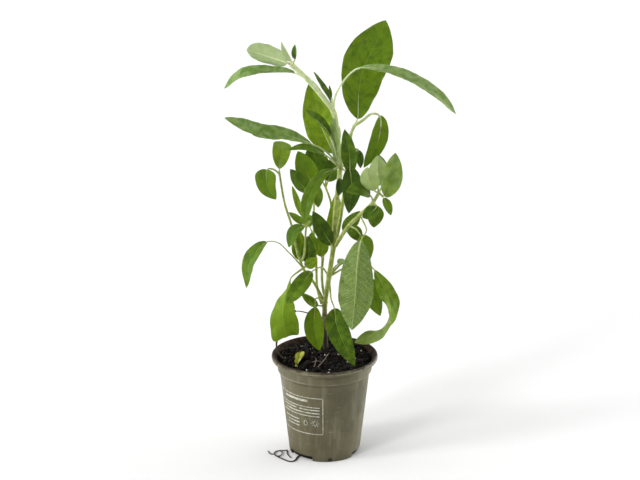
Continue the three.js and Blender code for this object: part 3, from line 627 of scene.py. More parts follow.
def pot_finish():
    """Thin olive-grey nursery plastic: faint moulding streaks, dust, scuffs and dried splashes, with
    soil smeared inside the rim. Painted light as well: shade in its steps and, with caked soil, inside
    the rim, pale highlights along its edges and a shadow at the front of the foot where a notch shows
    dark. It is also darker towards the bottom."""
    finish = Finish("nursery_plastic", Specular_IOR_Level=0.35)
    place = finish.place()
    sideways, forward, height = finish.split(place)

    def band(middle, reach):
        return abs(height - middle * MM).rise(reach * MM, 0.2 * reach * MM)

    streak = finish.noise(finish.stretched(place, 1, 1, 0.12), 160, 4, 0.6).rise(0.45, 0.75)
    scratch = finish.noise(finish.stretched(place, 0.1, 0.1, 1), 900, 2).rise(0.64, 0.74)
    specks = finish.cells(place, 210).rise(0.17, 0.08)
    patchy = specks * finish.noise(place, 40, 3).rise(0.5, 0.66)
    # Painted shade: dark bands under the overhang of the lip and in the collar's step.
    steps = band(LIP_FOOT - 0.4, 1.1).most(band(COLLAR_FOOT + 0.4, 1.0))
    # Painted highlights: pale bands just below the lip, just above the collar's step and round the lip,
    # broken up by noise.
    edges = band(LIP_FOOT - 1.6, 0.7).most(band(COLLAR_FOOT + 3, 0.7)).most(band(LIP_FOOT + 2.6, 0.5))
    rubbed = edges * finish.noise(place, 45, 3).rise(0.3, 0.6)
    soiled = (height + finish.noise(place, 160, 5) * 0.008).rise(0.0972, 0.1012)
    smears = finish.noise(place, 75, 5, 0.6).rise(0.34, 0.52)
    # Painted shadow: a small dark spot at the front of the foot, where a notch in the foot shows dark.
    from_nick = finish.sum("SQRT", (sideways - 0.005) ** 2 + (height - 0.002) ** 2)
    nick = from_nick.rise(0.003, 0.0014) * (forward < 0)

    base = finish.mix(finish.noise(place, 26, 4).rise(0.3, 0.7), shade(68, 64, 42), shade(85, 80, 56))
    for share, colour in (
        (streak * 0.4, shade(118, 115, 92)), (scratch * 0.3, shade(140, 137, 116)),
        (patchy * 0.7, shade(46, 40, 28)), (steps * 0.55, shade(44, 40, 28)),
        (rubbed * 0.6, shade(142, 139, 116)), (soiled * smears * 0.85, shade(46, 31, 19)),
        # The inside is near black: caked soil with painted shade. The next mix makes the pot darker
        # towards the bottom.
        (finish.number("inside"), shade(26, 18, 11)), (height.rise(0.012, 0.0) * 0.35, shade(60, 57, 42)),
        (nick, shade(18, 16, 10)),
    ):
        base = finish.mix(share, base, colour)
    finish.colour(base)
    finish.roughness(finish.noise(place, 60, 5).rise(0.3, 0.75, 0.36, 0.62).most(soiled * 0.95))
    finish.bump(finish.noise(place, 700, 4) + streak * 0.4, 0.05)
    return finish.material


def print_finish():
    """Worn white ink of the care panel, with the plastic showing through."""
    finish = Finish("panel_ink", Roughness=0.5)
    worn = finish.noise(finish.place(), 420, 5, 0.65).rise(0.36, 0.62)
    finish.colour(finish.mix(worn, shade(186, 187, 176), shade(132, 130, 112)))
    return finish.material


def soil_finish(name, dark, light, wet):
    finish = Finish(name, Specular_IOR_Level=0.15)
    place = finish.place()
    lumps = finish.noise(place, 420, 6, 0.7)
    finish.colour(finish.mix(lumps.rise(0.35, 0.75), dark, light))
    finish.roughness(finish.noise(place, 200, 3).rise(0.35, 0.65, wet, 0.95))
    finish.bump(lumps + finish.noise(place, 1500, 4), 0.5)
    return finish.material


def grain_finish(name, dark, light, roughness, scale=700, depth=0.1):
    """A plain mottled finish for small bits."""
    finish = Finish(name, Roughness=roughness, Specular_IOR_Level=0.2)
    mottle = finish.noise(finish.place(), scale, 4, 0.6)
    finish.colour(finish.mix(mottle.rise(0.35, 0.65), dark, light))
    finish.bump(mottle, depth)
    return finish.material


# deep is both the darkest own green and painted shade on leaves in shadow; the pale greens serve painted
# sheen too.
upper_face = blade_finish(
    "sage_leaf_upper", deep=shade(33, 60, 0), grey=shade(72, 105, 30), warm=shade(89, 116, 0),
    pale_grey=shade(132, 152, 100), pale_warm=shade(128, 152, 26), vein=shade(132, 158, 68),
    vein_share=0.42, relief=0.1, patchy=0.25,
)
under_face = blade_finish(
    "sage_leaf_underside", deep=shade(57, 82, 16), grey=shade(108, 128, 68), warm=shade(107, 130, 30),
    pale_grey=shade(156, 171, 128), pale_warm=shade(140, 162, 58), vein=shade(182, 195, 146),
    vein_share=0.6, relief=0.8, patchy=0.1,
)
stem_skin = stalk_finish()
plastic = pot_finish()
ink = print_finish()
damp_mix = soil_finish("potting_mix_surface", shade(3, 2, 1), shade(15, 11, 7), 0.6)
crumb_mix = soil_finish("potting_mix_crumbs", shade(3, 2, 1), shade(28, 20, 12), 0.6)
perlite_skin = grain_finish("perlite_grain", shade(150, 148, 140), shade(214, 212, 204), 0.85)
fibre_skin = grain_finish("plant_fibre", shade(52, 40, 26), shade(128, 110, 84), 0.85)
# The pot's inside: caked soil, near black with painted shade.
soiled_plastic = grain_finish("soiled_plastic", shade(9, 6, 4), shade(58, 40, 26), 0.9, 260, 0.3)
dry_leaf = grain_finish("dried_leaf", shade(48, 36, 24), shade(92, 74, 50), 0.8, 500, 0.2)
root_skin = grain_finish("fine_root", shade(26, 20, 16), shade(70, 58, 46), 0.85)
yellow_leaf = grain_finish("yellowed_leaf", shade(104, 108, 22), shade(152, 152, 52), 0.6, 300, 0.15)
hair_skin = grain_finish("fine_hair", shade(214, 220, 200), shade(236, 240, 228), 0.6)
dead_skin = grain_finish("dead_stalk", shade(66, 54, 48), shade(138, 124, 114), 0.8)
twig_skin = grain_finish("dark_twig", shade(30, 22, 14), shade(70, 52, 34), 0.8)


# ---------------------------------------------------------------- pot
def wall_radius(height):
    return lerp(FOOT_RADIUS, WALL_TOP_RADIUS, height / COLLAR_FOOT)


def turned(name, profile, steps):
    """A profile of (radius, height) drawn point by point, then spun about the pot's axis."""
    clear_selection()
    bpy.ops.mesh.primitive_plane_add(size=0.01)
    piece = new_piece(name)
    bpy.ops.object.mode_set(mode="EDIT")
    bpy.ops.mesh.select_all(action="SELECT")
    bpy.ops.mesh.merge(type="CENTER")
    radius, height = profile[0]
    bpy.ops.transform.translate(value=(radius * MM, 0, height * MM))
    for last, spot in zip(profile, profile[1:]):
        step = ((spot[0] - last[0]) * MM, 0, (spot[1] - last[1]) * MM)
        bpy.ops.mesh.extrude_region_move(TRANSFORM_OT_translate={"value": step})
    bpy.ops.mesh.select_all(action="SELECT")
    bpy.ops.mesh.spin(steps=steps, angle=2 * math.pi, center=(0, 0, 0), axis=(0, 0, 1))
    bpy.ops.object.mode_set(mode="OBJECT")
    close_seams(piece)
    return piece


def rounded(corners):
    """A profile with its corners rounded: each corner is (radius, height, rounding)."""
    profile = []
    for i, (radius, height, rounding) in enumerate(corners):
        here = Vector((radius, height))
        if not rounding:
            profile.append(tuple(here))
            continue
        before = (Vector(corners[i - 1][:2]) - here).normalized() * rounding
        after = (Vector(corners[i + 1][:2]) - here).normalized() * rounding
        for j in range(5):
            share = j / 4
            bend = here + before * (1 - share) ** 2 + after * share**2
            profile.append(tuple(bend))
    return profile


def soiling(reach, height):
    """How far a spot of the pot is caked with soil and painted with shade: wholly on its inside, fading
    out over the lip.
    """
    if height > LIP_FOOT - 0.5:
        return clamp((RIM_RADIUS - 1.4 - reach) / 0.8)
    outside = height > COLLAR_FOOT + 0.5 and reach > COLLAR_RADIUS - 0.8
    within = height > WALL - 0.1 and reach < wall_radius(height) - 0.5 * WALL
    return float(within and not outside)


def make_pot():
    collar_top = COLLAR_FOOT + COLLAR_STEP
    profile = rounded([
        (0, 0, 0), (12, 0, 0), (FOOT_RADIUS - SLOT_DEPTH, 0, 0), (FOOT_RADIUS, 0, 0.8),
        *((wall_radius(height), height, 0) for height in (SLOT_HEIGHT, 20, 40, 60)),
        (WALL_TOP_RADIUS, COLLAR_FOOT, 0.7), (COLLAR_RADIUS - 0.5, collar_top, 0.9),
        (COLLAR_RADIUS - 0.2, LIP_FOOT - 3.1, 0.15), (COLLAR_RADIUS - 0.5, LIP_FOOT - 2.7, 0.2),
        (COLLAR_RADIUS - 0.1, LIP_FOOT - 2.3, 0.15), (COLLAR_RADIUS, LIP_FOOT, 0.4),
        (RIM_RADIUS - 0.5, LIP_FOOT + 0.2, 1), (RIM_RADIUS, LIP_FOOT + 2, 0.8),
        (RIM_RADIUS - 0.4, POT_HEIGHT - 0.3, 1.1), (RIM_RADIUS - 2.6, POT_HEIGHT - 0.1, 0.9),
        (RIM_RADIUS - 3.6, POT_HEIGHT - 1.4, 0.8), (COLLAR_RADIUS - WALL, LIP_FOOT - 1, 0.6),
        (COLLAR_INSIDE, collar_top, 0), (WALL_TOP_RADIUS - WALL, COLLAR_FOOT, 0),
        (wall_radius(WALL) - WALL, WALL, 0), (0, WALL, 0),
    ])
    pot = turned("nursery_pot", profile, 144)
    for i in range(SLOT_COUNT):
        slot = slot_cutter(SLOT_MIDDLE - 360 / SLOT_COUNT * i)
        finish_with(pot, "BOOLEAN", object=slot, operation="DIFFERENCE", solver="EXACT")
        bpy.data.objects.remove(slot)
    sharp = math.radians(60)
    finish_with(pot, "BEVEL", width=0.25 * MM, segments=2, limit_method="ANGLE", angle_limit=sharp)
    inside = [soiling(vertex.co.xy.length / MM, vertex.co.z / MM) for vertex in pot.data.vertices]
    mark(pot, inside=inside)
    pot.data.materials.append(plastic)
    pot.data.materials.append(soiled_plastic)
    # Faces inside the pot take the near-black finish of caked soil and painted shade.
    for face in pot.data.polygons:
        if all(inside[i] > 0.5 for i in face.vertices):
            face.material_index = 1
    smooth(pot, 35)
    return hand_over(pot, "pot_plastic", "pot")


def slot_cutter(middle):
    """A curved block that cuts one drain slot out of the corner of wall and floor."""
    cutter = grid("slot_cutter", 1, 14)
    for vertex in cutter.data.vertices:
        turn = math.radians(middle + SLOT_ANGLE * vertex.co.y)
        reach = (FOOT_RADIUS + 2 * SLOT_DEPTH * vertex.co.x) * MM
        vertex.co = (reach * math.cos(turn), reach * math.sin(turn), 0)
    finish_with(cutter, "SOLIDIFY", thickness=2 * SLOT_HEIGHT * MM, offset=0)
    close_seams(cutter)
    return cutter


# ---------------------------------------------------------------- care panel
PANEL_RIGHT = -92.5  # degrees round the pot
PANEL_LEFT = -171
PANEL_RADIUS = wall_radius(43)
PANEL_FOOT = 29.5
PANEL_TOP = 67.5
PANEL_BARS = [  # millimetres left of the panel's right edge, length, height and thickness
    (14, 26, 64, 2.2), (3, 44, 57.6, 0.8), (3, 20, 54.8, 1.1), (26, 18, 54.8, 1.1), (3, 38, 51.6, 1.1),
    (3, 44, 48.4, 0.8), (24, 20, 43, 1), (24, 16, 39.6, 1), (24, 18, 36.2, 1),
]
SUN_SPOT = (7.5, 41)
RAY_CORNERS = ((2.8, -0.2), (4.2, -0.2), (2.8, 0.2), (4.2, 0.2))
DROP_SPOT = (17, 40)


def on_wall(across, height):
    """The spot on the wall so many millimetres left of the panel's right edge."""
    turn = math.radians(PANEL_RIGHT - math.degrees(across / PANEL_RADIUS))
    reach = wall_radius(height) + 0.02
    return Vector((reach * math.cos(turn), reach * math.sin(turn), height)) * MM


def ink_patch(name, corners, columns, rows):
    """A thin film on the wall between two corners, each (across, height)."""
    (left, foot), (right, top) = corners
    patch = grid(name, columns, rows)
    for vertex in patch.data.vertices:
        vertex.co = on_wall(lerp(left, right, vertex.co.x + 0.5), lerp(foot, top, vertex.co.y + 0.5))
    return patch


def ink_loop(name, outline, width):
    """A closed line of that width along an outline of (across, height) points."""
    count = len(outline)
    loop = grid(name, 1, count)
    middle = Vector((sum(p[0] for p in outline) / count, sum(p[1] for p in outline) / count))
    for vertex in loop.data.vertices:
        i = round((vertex.co.y + 0.5) * count) % count
        here = Vector(outline[i])
        ahead = Vector(outline[(i + 1) % count]) - Vector(outline[i - 1])
        normal = Vector((ahead.y, -ahead.x)).normalized()
        if normal.dot(here - middle) < 0:
            normal.negate()
        vertex.co = on_wall(*(here + normal * width * vertex.co.x))
    close_seams(loop, outwards=False)
    return loop


def rounded_box(left, foot, right, top, corner):
    outline = []
    spots = ((right - corner, top - corner, 0), (left + corner, top - corner, 90),
             (left + corner, foot + corner, 180), (right - corner, foot + corner, 270))
    for x, z, start in spots:
        for step in range(5):
            turn = math.radians(start + 22.5 * step)
            outline.append((x + corner * math.cos(turn), z + corner * math.sin(turn)))
    filled = []
    for here, following in zip(outline, outline[1:] + outline[:1]):
        gap = math.dist(here, following)
        pieces = max(1, round(gap / 1.5))
        filled += [(lerp(here[0], following[0], k / pieces), lerp(here[1], following[1], k / pieces))
                   for k in range(pieces)]
    return filled


def make_panel():
    """A care panel with nothing to read on it: a frame, plain bars and simple pictures."""
    wide = math.radians(PANEL_RIGHT - PANEL_LEFT) * PANEL_RADIUS
    marks = [ink_loop("frame", rounded_box(0, PANEL_FOOT, wide, PANEL_TOP, 1.4), 0.7)]
    for across, length, height, thick in PANEL_BARS:
        corners = ((across, height - thick / 2), (across + length, height + thick / 2))
        marks.append(ink_patch("bar", corners, max(2, round(length / 1.5)), 1))
    turns = [step / 12 * math.pi for step in range(24)]
    x, z = SUN_SPOT
    marks.append(ink_loop("sun", [(x + 1.9 * math.cos(t), z + 1.9 * math.sin(t)) for t in turns], 0.5))
    for turn in turns[::3]:
        ray = ink_patch("ray", ((0, 0), (1, 1)), 1, 1)
        for vertex, (out, aside) in zip(ray.data.vertices, RAY_CORNERS):
            vertex.co = on_wall(x + out * math.cos(turn) - aside * math.sin(turn),
                                z + out * math.sin(turn) + aside * math.cos(turn))
        marks.append(ray)
    x, z = DROP_SPOT
    drop = []
    for turn in turns:
        point = 1 + 0.75 * max(0.0, math.sin(turn)) ** 6
        drop.append((x + 1.9 * math.cos(turn), z + 2.1 * math.sin(turn) * point))
    marks.append(ink_loop("drop", drop, 0.5))
    panel = joined("care_panel", marks)
    panel.data.materials.append(ink)
    finish_with(panel, "SOLIDIFY", thickness=0.05 * MM, offset=1)
    close_seams(panel)
    return hand_over(panel, "pot_plastic")


# ---------------------------------------------------------------- potting mix
FULL_TURN = 6.3  # radians
SOIL_RINGS = 56
KINDS = 6  # how many different lumps the bits of one sort are copied from


def soil_height(x, y):
    """The height of the surface: a mound round the stem, with lumps from a few waves."""
    apart = (x - MOUND_MIDDLE[0]) ** 2 + (y - MOUND_MIDDLE[1]) ** 2
    mound = MOUND_HEIGHT * math.exp(-apart / (2 * MOUND_SPREAD**2))
    swell = math.sin(0.31 * x + 1.7) * math.cos(0.27 * y - 0.4)
    lumps = 0.7 * math.sin(0.61 * x - 0.53 * y)
    grain = 0.5 * math.sin(1.3 * x + 0.9 * y) * math.cos(1.1 * y - 0.8 * x)
    return SOIL_LEVEL + mound + SOIL_RELIEF * (swell + lumps + grain)


def fine_soil_height(x, y):
    """The same surface with small clods on it."""
    spot = Vector((x, y, 3.7))
    return soil_height(x, y) + sum(noise.noise(spot * fine) * tall for fine, tall in CLODS)


def make_soil():
    bottom = WALL + SEAT_GAP
    edge = COLLAR_INSIDE - SEAT_GAP
    profile = [(0, bottom), (wall_radius(bottom) - WALL - SEAT_GAP, bottom),
               (wall_radius(COLLAR_FOOT) - WALL - SEAT_GAP, COLLAR_FOOT),
               (edge, COLLAR_FOOT + COLLAR_STEP + SEAT_GAP)]
    profile += [(edge * (1 - i / SOIL_RINGS), POT_HEIGHT) for i in range(SOIL_RINGS + 1)]
    soil = turned("potting_mix", profile, 170)
    for vertex in soil.data.vertices:
        if vertex.co.z > LIP_FOOT * MM:
            vertex.co.z = fine_soil_height(vertex.co.x / MM, vertex.co.y / MM) * MM
    return coated(soil, damp_mix, 60, "potting_mix", "soil")


def lump(name, faces_level):
    """One rough lump: a ball pushed in and out, squashed and turned."""
    clear_selection()
    bpy.ops.mesh.primitive_ico_sphere_add(subdivisions=faces_level, radius=1)
    piece = new_piece(name)
    stretch = [chance.uniform(0.65, 1.25) for _ in range(3)]
    turn = chance.uniform(0, FULL_TURN)
    turn = Matrix.Rotation(turn, 3, Vector((chance.random(), chance.random(), 1)).normalized())
    salt = Vector((chance.uniform(0, 50), 0, 0))
    for vertex in piece.data.vertices:
        push = 1 + 0.42 * noise.noise(vertex.co * 1.4 + salt)
        vertex.co = turn @ Vector(vertex.co[k] * stretch[k] * push for k in range(3)) * MM
    return piece


def spots_on_soil(count, spread=1.0):
    """Random places on the surface, (x, y), thicker towards the rim."""
    edge = COLLAR_INSIDE - SEAT_GAP - 1.2
    found = []
    while len(found) < count:
        reach = edge * chance.random() ** (0.5 * spread)
        turn = chance.uniform(0, 2 * math.pi)
        found.append((reach * math.cos(turn), reach * math.sin(turn)))
    return found


def bits(name, count, sizes, level, material, slot, sink=0.3):
    """Loose bits lying in the surface, modelled as lumps of one kind."""
    kinds = [lump(name, level) for _ in range(KINDS)]
    mesh = bmesh.new()
    for x, y in spots_on_soil(count):
        size = lerp(sizes[0], sizes[1], chance.random() ** 2.5)
        place = Vector((x, y, fine_soil_height(x, y) + size * sink)) * MM
        copy = chance.choice(kinds).data.copy()
        turn = Matrix.Rotation(chance.uniform(0, FULL_TURN), 4, "Z")
        turn @= Matrix.Rotation(chance.uniform(0, 3.1), 4, "X")
        copy.transform(Matrix.Translation(place) @ turn @ Matrix.Scale(size, 4))
        mesh.from_mesh(copy)
        bpy.data.meshes.remove(copy)
    piece = kinds[0]
    for spare in kinds[1:]:
        bpy.data.objects.remove(spare)
    mesh.to_mesh(piece.data)
    mesh.free()
    piece.name = name
    return coated(piece, material, 50, slot)


def make_fibres():
    """Bark fibres and thin twigs lying on the mix, a few of them up on the rim."""
    strands = []
    for x, y in spots_on_soil(40, 1.3):
        turn = chance.uniform(0, 2 * math.pi)
        length = chance.uniform(2.5, 8)
        bend = chance.uniform(-0.6, 0.6)
        route = []
        for k in range(4):
            heading = turn + bend * k
            spot = (x + length * k / 3 * math.cos(heading), y + length * k / 3 * math.sin(heading))
            if math.hypot(*spot) > COLLAR_INSIDE - 1.5:
                spot = (spot[0] * 0.93, spot[1] * 0.93)
            route.append((*spot, fine_soil_height(*spot) + chance.uniform(0.1, 0.9)))
        thick = chance.uniform(0.12, 0.32)
        strands.append(strand("fibre", route, thick, thick, 4, 7))
    fibres = joined("bark_fibres", strands)
    return coated(fibres, fibre_skin, 60, "bark")


# Routes, with half the thickness at their start: damp twigs over the mix and up on the rim, and dead
# stalks standing in the mix.
DARK_TWIGS = [
    ([(-45, 12, 106), (-45.5, 10, 100), (-43, 3, 95.5), (-38, -6, 94)], 1),
    ([(-42, 10, 95), (-37, 13, 96.5), (-30, 13, 97.5), (-24, 8, 96)], 0.5),
    ([(45, 22, 103), (38, 22, 100), (29, 23, 98.6), (20, 22, 97)], 1),
    ([(41, 16, 96), (34, 18, 99), (27, 19, 98)], 0.6),
]
DEAD_STALKS = [
    ([(-7, -27, 93.5), (-2, -20, 96.5), (4, -9, 101)], 0.6),
    ([(-14, -18, 94.5), (-7, -19, 97), (1, -21, 95)], 0.45),
    ([(-10, -27, 94), (-8, -19, 97.5), (-9, -11, 98)], 0.45),
    ([(18, -8, 94.5), (22, -2, 97), (24, 6, 97)], 0.5),
]


def make_twigs(name, routes, skin):
    twigs = joined(name, [strand("twig", route, thick, 0.6 * thick, 8, 16) for route, thick in routes])
    for vertex in twigs.data.vertices:
        vertex.co += noise.noise_vector(vertex.co * 500) * 0.25 * MM
    return coated(twigs, skin, 60, "bark")


# ---------------------------------------------------------------- leaves
def fullness(share, belly, point):
    """Half-width of a blade as a share of its greatest, from foot (0) to tip (1)."""
    if share < belly:
        return (1 - (1 - share / belly) ** 2) ** FOOT_FULLNESS
    return max(0.0, 1 - ((share - belly) / (1 - belly)) ** point) ** TIP_FULLNESS


def blade_side(kind, path, foot, share):
    """The way across a blade at a share of its length."""
    length = path.length - foot
    hint = path.tangent(foot + length / 2).cross(Vector(kind["face"])).normalized()
    ahead = path.tangent(foot + length * share)
    side = (hint - ahead * hint.dot(ahead)).normalized()
    return Matrix.Rotation(math.radians(kind["roll"] * (share - 0.5)), 3, ahead) @ side


def make_blade(name, kind, path, foot, seed):
    """The blade of a leaf: a grid laid along its midrib, folded, rippled and scalloped, with a
    groove over the midrib and the leaf quilted between its side veins."""
    length = path.length - foot
    width = kind["width"]
    rows = max(16, min(150, round(length / 0.65)))
    columns = 2 * max(6, min(20, round(width / 2)))
    slim = min(1, width / WIDE_LEAF)
    gap = clamp(length / 15, 1.7, 6)
    blade = grid(name, columns, rows)
    sections = []
    for i in range(rows + 1):
        share = 0.55 * i / rows + 0.45 * (1 - math.cos(math.pi * i / rows)) / 2
        spot = path.at(foot + length * share)
        ahead = path.tangent(foot + length * share)
        side = blade_side(kind, path, foot, share)
        full = fullness(share, kind["belly"], kind["point"])
        lift = math.radians(kind["fold"] * lerp(*FOLD_TAPER, share))
        sections.append((share, spot, side, ahead, full, lift))
    uvs, ribs = {}, []
    for vertex in blade.data.vertices:
        i = round((vertex.co.y + 0.5) * rows)
        share, middle, side, ahead, full, lift = sections[i]
        up = side.cross(ahead)
        out = 2 * vertex.co.x
        out = math.copysign(abs(out) ** 1.25, out)
        along = share * length
        tooth = abs(math.sin(math.pi * along / TOOTH_LENGTH + seed)) * TOOTH_DEPTH * slim
        wander = 1 + 0.035 * noise.noise(Vector((along * 0.09, seed, 3 if out > 0 else 9)))
        half = max(0.12, width / 2 * full * wander + (tooth - TOOTH_DEPTH) * out**4 * full)
        across = half * abs(out)
        phase = 0.6 if out > 0 else 2.2
        wave = math.sin(2 * math.pi * along / WAVE_LENGTH + phase)
        rise = across * math.sin(lift) + kind["ripple"] * out * out * wave * full
        groove = -0.35 * math.exp(-((across / 0.9) ** 2)) * (1 - share) * slim
        climb = (along - 0.85 * across) / gap + (0.45 if out > 0 else 0)
        quilt = -math.cos(2 * math.pi * climb) * 0.035 * gap * full
        quilt *= abs(out) ** 0.5 * (1 - 0.5 * out * out)
        pucker = noise.noise(Vector((across * out, along, seed * 7)) * 0.16)
        pucker *= 0.05 * width * abs(out) * full
        spot = middle + side * half * out * math.cos(lift) + up * (rise + groove + quilt + pucker)
        spot += ahead * kind["notch"] * (2 * across / width) ** 2 * share**LOBE_POWER
        vertex.co = spot * MM
        uvs[vertex.index] = (half * out / MAP_UNIT, along / MAP_UNIT)
        ribs.append(clamp(0.03 * width, 0.14, 0.7) * (1 - 0.8 * share))
    for loop, uv in zip(blade.data.loops, blade.data.uv_layers[0].data):
        uv.uv = uvs[loop.vertex_index]
    mark(blade, rib=ribs, gap=gap, seed=seed, light=kind["light"], warm=kind["warm"])
    blade.data.materials.append(upper_face)
    blade.data.materials.append(under_face)
    finish_with(blade, "SOLIDIFY", thickness=BLADE_THICKNESS * MM, offset=0, material_offset=1)
    return blade


def rib_points(kind, path, foot):
    """The points of a leaf's rib, which lies deeper than its blade so that it stands out below."""
    points = [kind["blade"][0]]
    for i, spot in enumerate(kind["blade"][1:], 2):
        length = path.length_to(len(kind["petiole"]) + i)
        share = (length - foot) / (path.length - foot)
        up = blade_side(kind, path, foot, share).cross(path.tangent(length))
        points.append(Vector(spot) - up * lerp(*RIB_DEPTH, share) * min(1, kind["width"] / WIDE_LEAF))
    return points


def make_leaf(name, kind, stem_point, seed):
    bends = kind["petiole"]
    path = Path([stem_point, *bends, *kind["blade"]])
    foot = path.length_to(len(bends) + 1)
    blade = make_blade(name, kind, path, foot, seed)
    path = Path([stem_point, *bends, *rib_points(kind, path, foot)])
    foot = path.length_to(len(bends) + 1)
    reach = lerp(foot, path.length, RIB_REACH)
    stalk = kind["stalk"] * STALK_SLIMNESS
    neck = foot / reach

    def radius(share):
        if share < neck:
            return stalk * lerp(*STALK_TAPER, share / max(neck, 0.01))
        return stalk * lerp(STALK_TAPER[1], 0.1, (share - neck) / (1 - neck)) * min(1, kind["width"] / 13)

    rows = max(12, min(60, round(reach / 1.6)))
    rib = tube(name + "_rib", path, 0, reach, radius, 8, rows)
    rib.data.materials.append(stem_skin)
    return [blade, rib]


def repaint(pieces, material):
    """Gives a leaf's pieces one finish on both faces."""
    for piece in pieces:
        piece.data.materials.clear()
        piece.data.materials.append(material)
        piece.data.materials.append(material)


# ---------------------------------------------------------------- stems
def make_stem(name, shoot, woody):
    path = Path(shoot["spine"])
    forks = [path.length_to(kind["node"]) / path.length for kind in shoot["leaves"]]

    def radius(share):
        swell = max(math.exp(-(((share - fork) * path.length / 2.6) ** 2)) for fork in forks)
        return lerp(*shoot["radii"], share) * (1 + 0.16 * swell)

    rows = max(20, round(path.length / 1.5))
    stem = tube(name, path, 0, path.length, radius, 16, rows, square=0.0 if woody else 0.16)
    if woody:
        for vertex in stem.data.vertices:
            spot = vertex.co / MM
            away = (spot - Vector((0.5, 10, spot.z))).normalized()
            vertex.co += away * noise.noise(spot * BARK_GRAIN) * BARK_DEPTH * MM
    mark(stem, age=1.0)
    stem.data.materials.append(stem_skin)
    return stem


def make_shoot(shoot, number):
    """A stem with all its leaves, as one piece."""
    name = shoot["name"]
    woody = name == "woody_stem"
    pieces = [make_stem(name + "_stalk", shoot, woody)]
    for i, kind in enumerate(shoot["leaves"]):
        seed = number * 10 + i * 0.37
        pieces += make_leaf(f"{name}_leaf_{i}", kind, shoot["spine"][kind["node"]], seed)
    if woody:
        repaint(pieces[1:], dry_leaf)
    whole = joined(name + "_dressed", pieces)
    smooth(whole, 50)
    return hand_over(whole, "bark" if woody else "sage_green", name)


# Shoots with hairs: the share of the stem where they start, and how many stand on a millimetre.
HAIRY = {
    "leader_shoot": (0.35, 9), "upright_shoot": (0.2, 7), "right_shoot": (0, 8), "left_shoot": (0.3, 5),
}
HAIRY_FROM = 250  # the height from which leaf stalks have hairs too


def make_hairs(name, patches):
    """Fine pale hairs standing out from young stems. Each patch is a path, where it starts and ends
    on it, the stem's radius there and the number of hairs for each millimetre."""
    clear_selection()
    bpy.ops.mesh.primitive_cone_add(vertices=3, radius1=0.055, radius2=0, depth=1, location=(0, 0, 0.5))
    bpy.ops.object.transform_apply(location=True, rotation=False, scale=False)
    hair = new_piece(name)
    mesh = bmesh.new()
    for path, start, end, reach, thickness in patches:
        for _ in range(round((end - start) * thickness)):
            length = chance.uniform(start, end)
            along = path.tangent(length)
            turn = chance.uniform(0, 2 * math.pi)
            away = Matrix.Rotation(turn, 3, along) @ along.orthogonal().normalized()
            lean = (away + along * chance.uniform(-0.5, 0.5)).normalized()
            copy = hair.data.copy()
            stand = lean.to_track_quat("Z", "Y").to_matrix().to_4x4()
            foot = (path.at(length) + away * reach * 0.8) * MM
            size = Matrix.Diagonal((MM, MM, chance.uniform(0.7, 1.5) * MM, 1))
            copy.transform(Matrix.Translation(foot) @ stand @ size)
            mesh.from_mesh(copy)
            bpy.data.meshes.remove(copy)
    mesh.to_mesh(hair.data)
    mesh.free()
    hair.data.materials.append(hair_skin)
    return hand_over(hair, "sage_green")


def hairy_patches():
    patches = []
    for shoot in PLANT:
        if shoot["name"] not in HAIRY:
            continue
        start, thickness = HAIRY[shoot["name"]]
        path = Path(shoot["spine"])
        patches.append((path, start * path.length, path.length, sum(shoot["radii"]) / 2, thickness))
        for kind in shoot["leaves"]:
            stem_point = shoot["spine"][kind["node"]]
            if stem_point[2] > HAIRY_FROM:
                stalk = Path([stem_point, *kind["petiole"], *kind["blade"]])
                reach = stalk.length_to(len(kind["petiole"]) + 1)
                patches.append((stalk, 0, reach, 0.8 * kind["stalk"], 6))
    return patches


def make_fallen_leaf():
    pieces = make_leaf("fallen", FALLEN_LEAF, FALLEN_LEAF_FOOT, 3.3)
    repaint(pieces, yellow_leaf)
    whole = joined("fallen_leaf_dressed", pieces)
    smooth(whole, 50)
    return hand_over(whole, "yellow_leaf", "fallen_leaf")


def make_roots():
    strands = [strand("root", route, 1.15 * thick, 0.805 * thick, 8) for thick, route in ROOTS]
    whole = joined("root_tuft_dressed", strands)
    return coated(whole, root_skin, 60, "root", "root_tuft")


# ---------------------------------------------------------------- camera, light and floor
CEILING = 0.625
LEFT_PANEL = 9.5
RIGHT_PANEL = 20
ROOM = 0.04
SUNS = [("side_lamp", 21, 1.3), ("front_lamp", 48, 1.35)]  # bearing of their light in degrees, energy
SUN_SPREAD = 16  # degrees
SUN_SLOPE = 0.45
FOCAL_LENGTH = 151.7
CAMERA_AIM = Vector((-0.00438, 0, 0.21012))
CAMERA_AWAY = 2.5
CAMERA_SLOPE = math.radians(19.4)


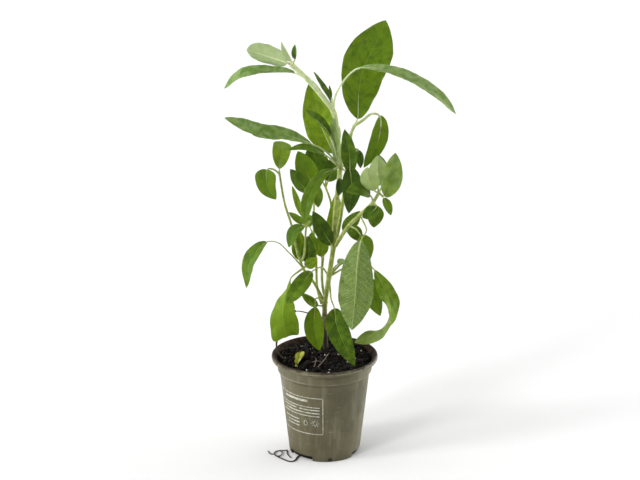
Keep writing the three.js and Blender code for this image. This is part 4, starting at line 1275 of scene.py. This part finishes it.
def white_room():
    """A white room with tall soft panels low down on the left and at the back right, a soft ceiling
    and a dim front."""
    world = bpy.data.worlds.new("white_room")
    world.use_nodes = True
    nodes = Nodes(world.node_tree)
    way = nodes.get("Generated", "TexCoord")
    up = nodes.split(way)[2]

    def panel(toward, reach, strength):
        facing = nodes.add("VectorMath", {"operation": "DOT_PRODUCT"})
        nodes.feed(facing.inputs[0], way)
        nodes.feed(facing.inputs[1], Vector(toward).normalized())
        lobe = Output(nodes, facing.outputs["Value"]).most(0) ** 3
        return lobe * (1 - abs(up) / reach).most(0) * strength

    sides = panel((-1, 0.25, 0), 0.6, LEFT_PANEL) + panel((0.9, 0.42, 0), 0.45, RIGHT_PANEL)
    backdrop = world.node_tree.nodes["Background"]
    nodes.feed(backdrop.inputs["Color"], (1, 1, 1, 1))
    nodes.feed(backdrop.inputs["Strength"], up.most(0) ** 2 * CEILING + sides + ROOM)
    return world


def make_studio():
    scene = bpy.context.scene
    scene.view_settings.view_transform = "Standard"
    camera = bpy.data.objects.new("view", bpy.data.cameras.new("view"))
    scene.collection.objects.link(camera)
    camera.data.lens = FOCAL_LENGTH
    camera.data.clip_end = 20
    back = Vector((0, -math.cos(CAMERA_SLOPE), math.sin(CAMERA_SLOPE)))
    camera.location = CAMERA_AIM + back * CAMERA_AWAY
    camera.rotation_euler = (math.radians(90) - CAMERA_SLOPE, 0, 0)
    scene.camera = camera
    scene.world = white_room()
    for name, bearing, energy in SUNS:
        sun = bpy.data.objects.new(name, bpy.data.lights.new(name, "SUN"))
        scene.collection.objects.link(sun)
        sun.data.angle = math.radians(SUN_SPREAD)
        sun.data.energy = energy
        turn = math.radians(bearing)
        way = Vector((math.cos(turn), math.sin(turn), -SUN_SLOPE))
        sun.rotation_euler = way.to_track_quat("-Z", "Y").to_euler()
    clear_selection()
    bpy.ops.mesh.primitive_plane_add(size=14)
    floor = new_piece("white_floor")
    paper = Finish("white_paper", Roughness=0.9)
    speckle = paper.noise(paper.place(), 30, 2)
    paper.colour(paper.mix(speckle, (0.9, 0.9, 0.9, 1), (0.92, 0.92, 0.92, 1)))
    floor.data.materials.append(paper.material)


make_studio()
make_pot()
make_panel()
make_soil()
bits("soil_crumbs", 520, (0.5, 2.6), 2, crumb_mix, "potting_mix")
bits("soil_clods", 26, (2.2, 4.4), 3, crumb_mix, "potting_mix", 0.1)
bits("perlite_bits", 90, (0.35, 1.1), 1, perlite_skin, "potting_mix", 0.5)
make_fibres()
make_twigs("dark_twigs", DARK_TWIGS, twig_skin)
make_twigs("dead_stalks", DEAD_STALKS, dead_skin)
for number, shoot in enumerate(PLANT):
    make_shoot(shoot, number)
make_hairs("stem_hairs", hairy_patches())
make_fallen_leaf()
make_roots()
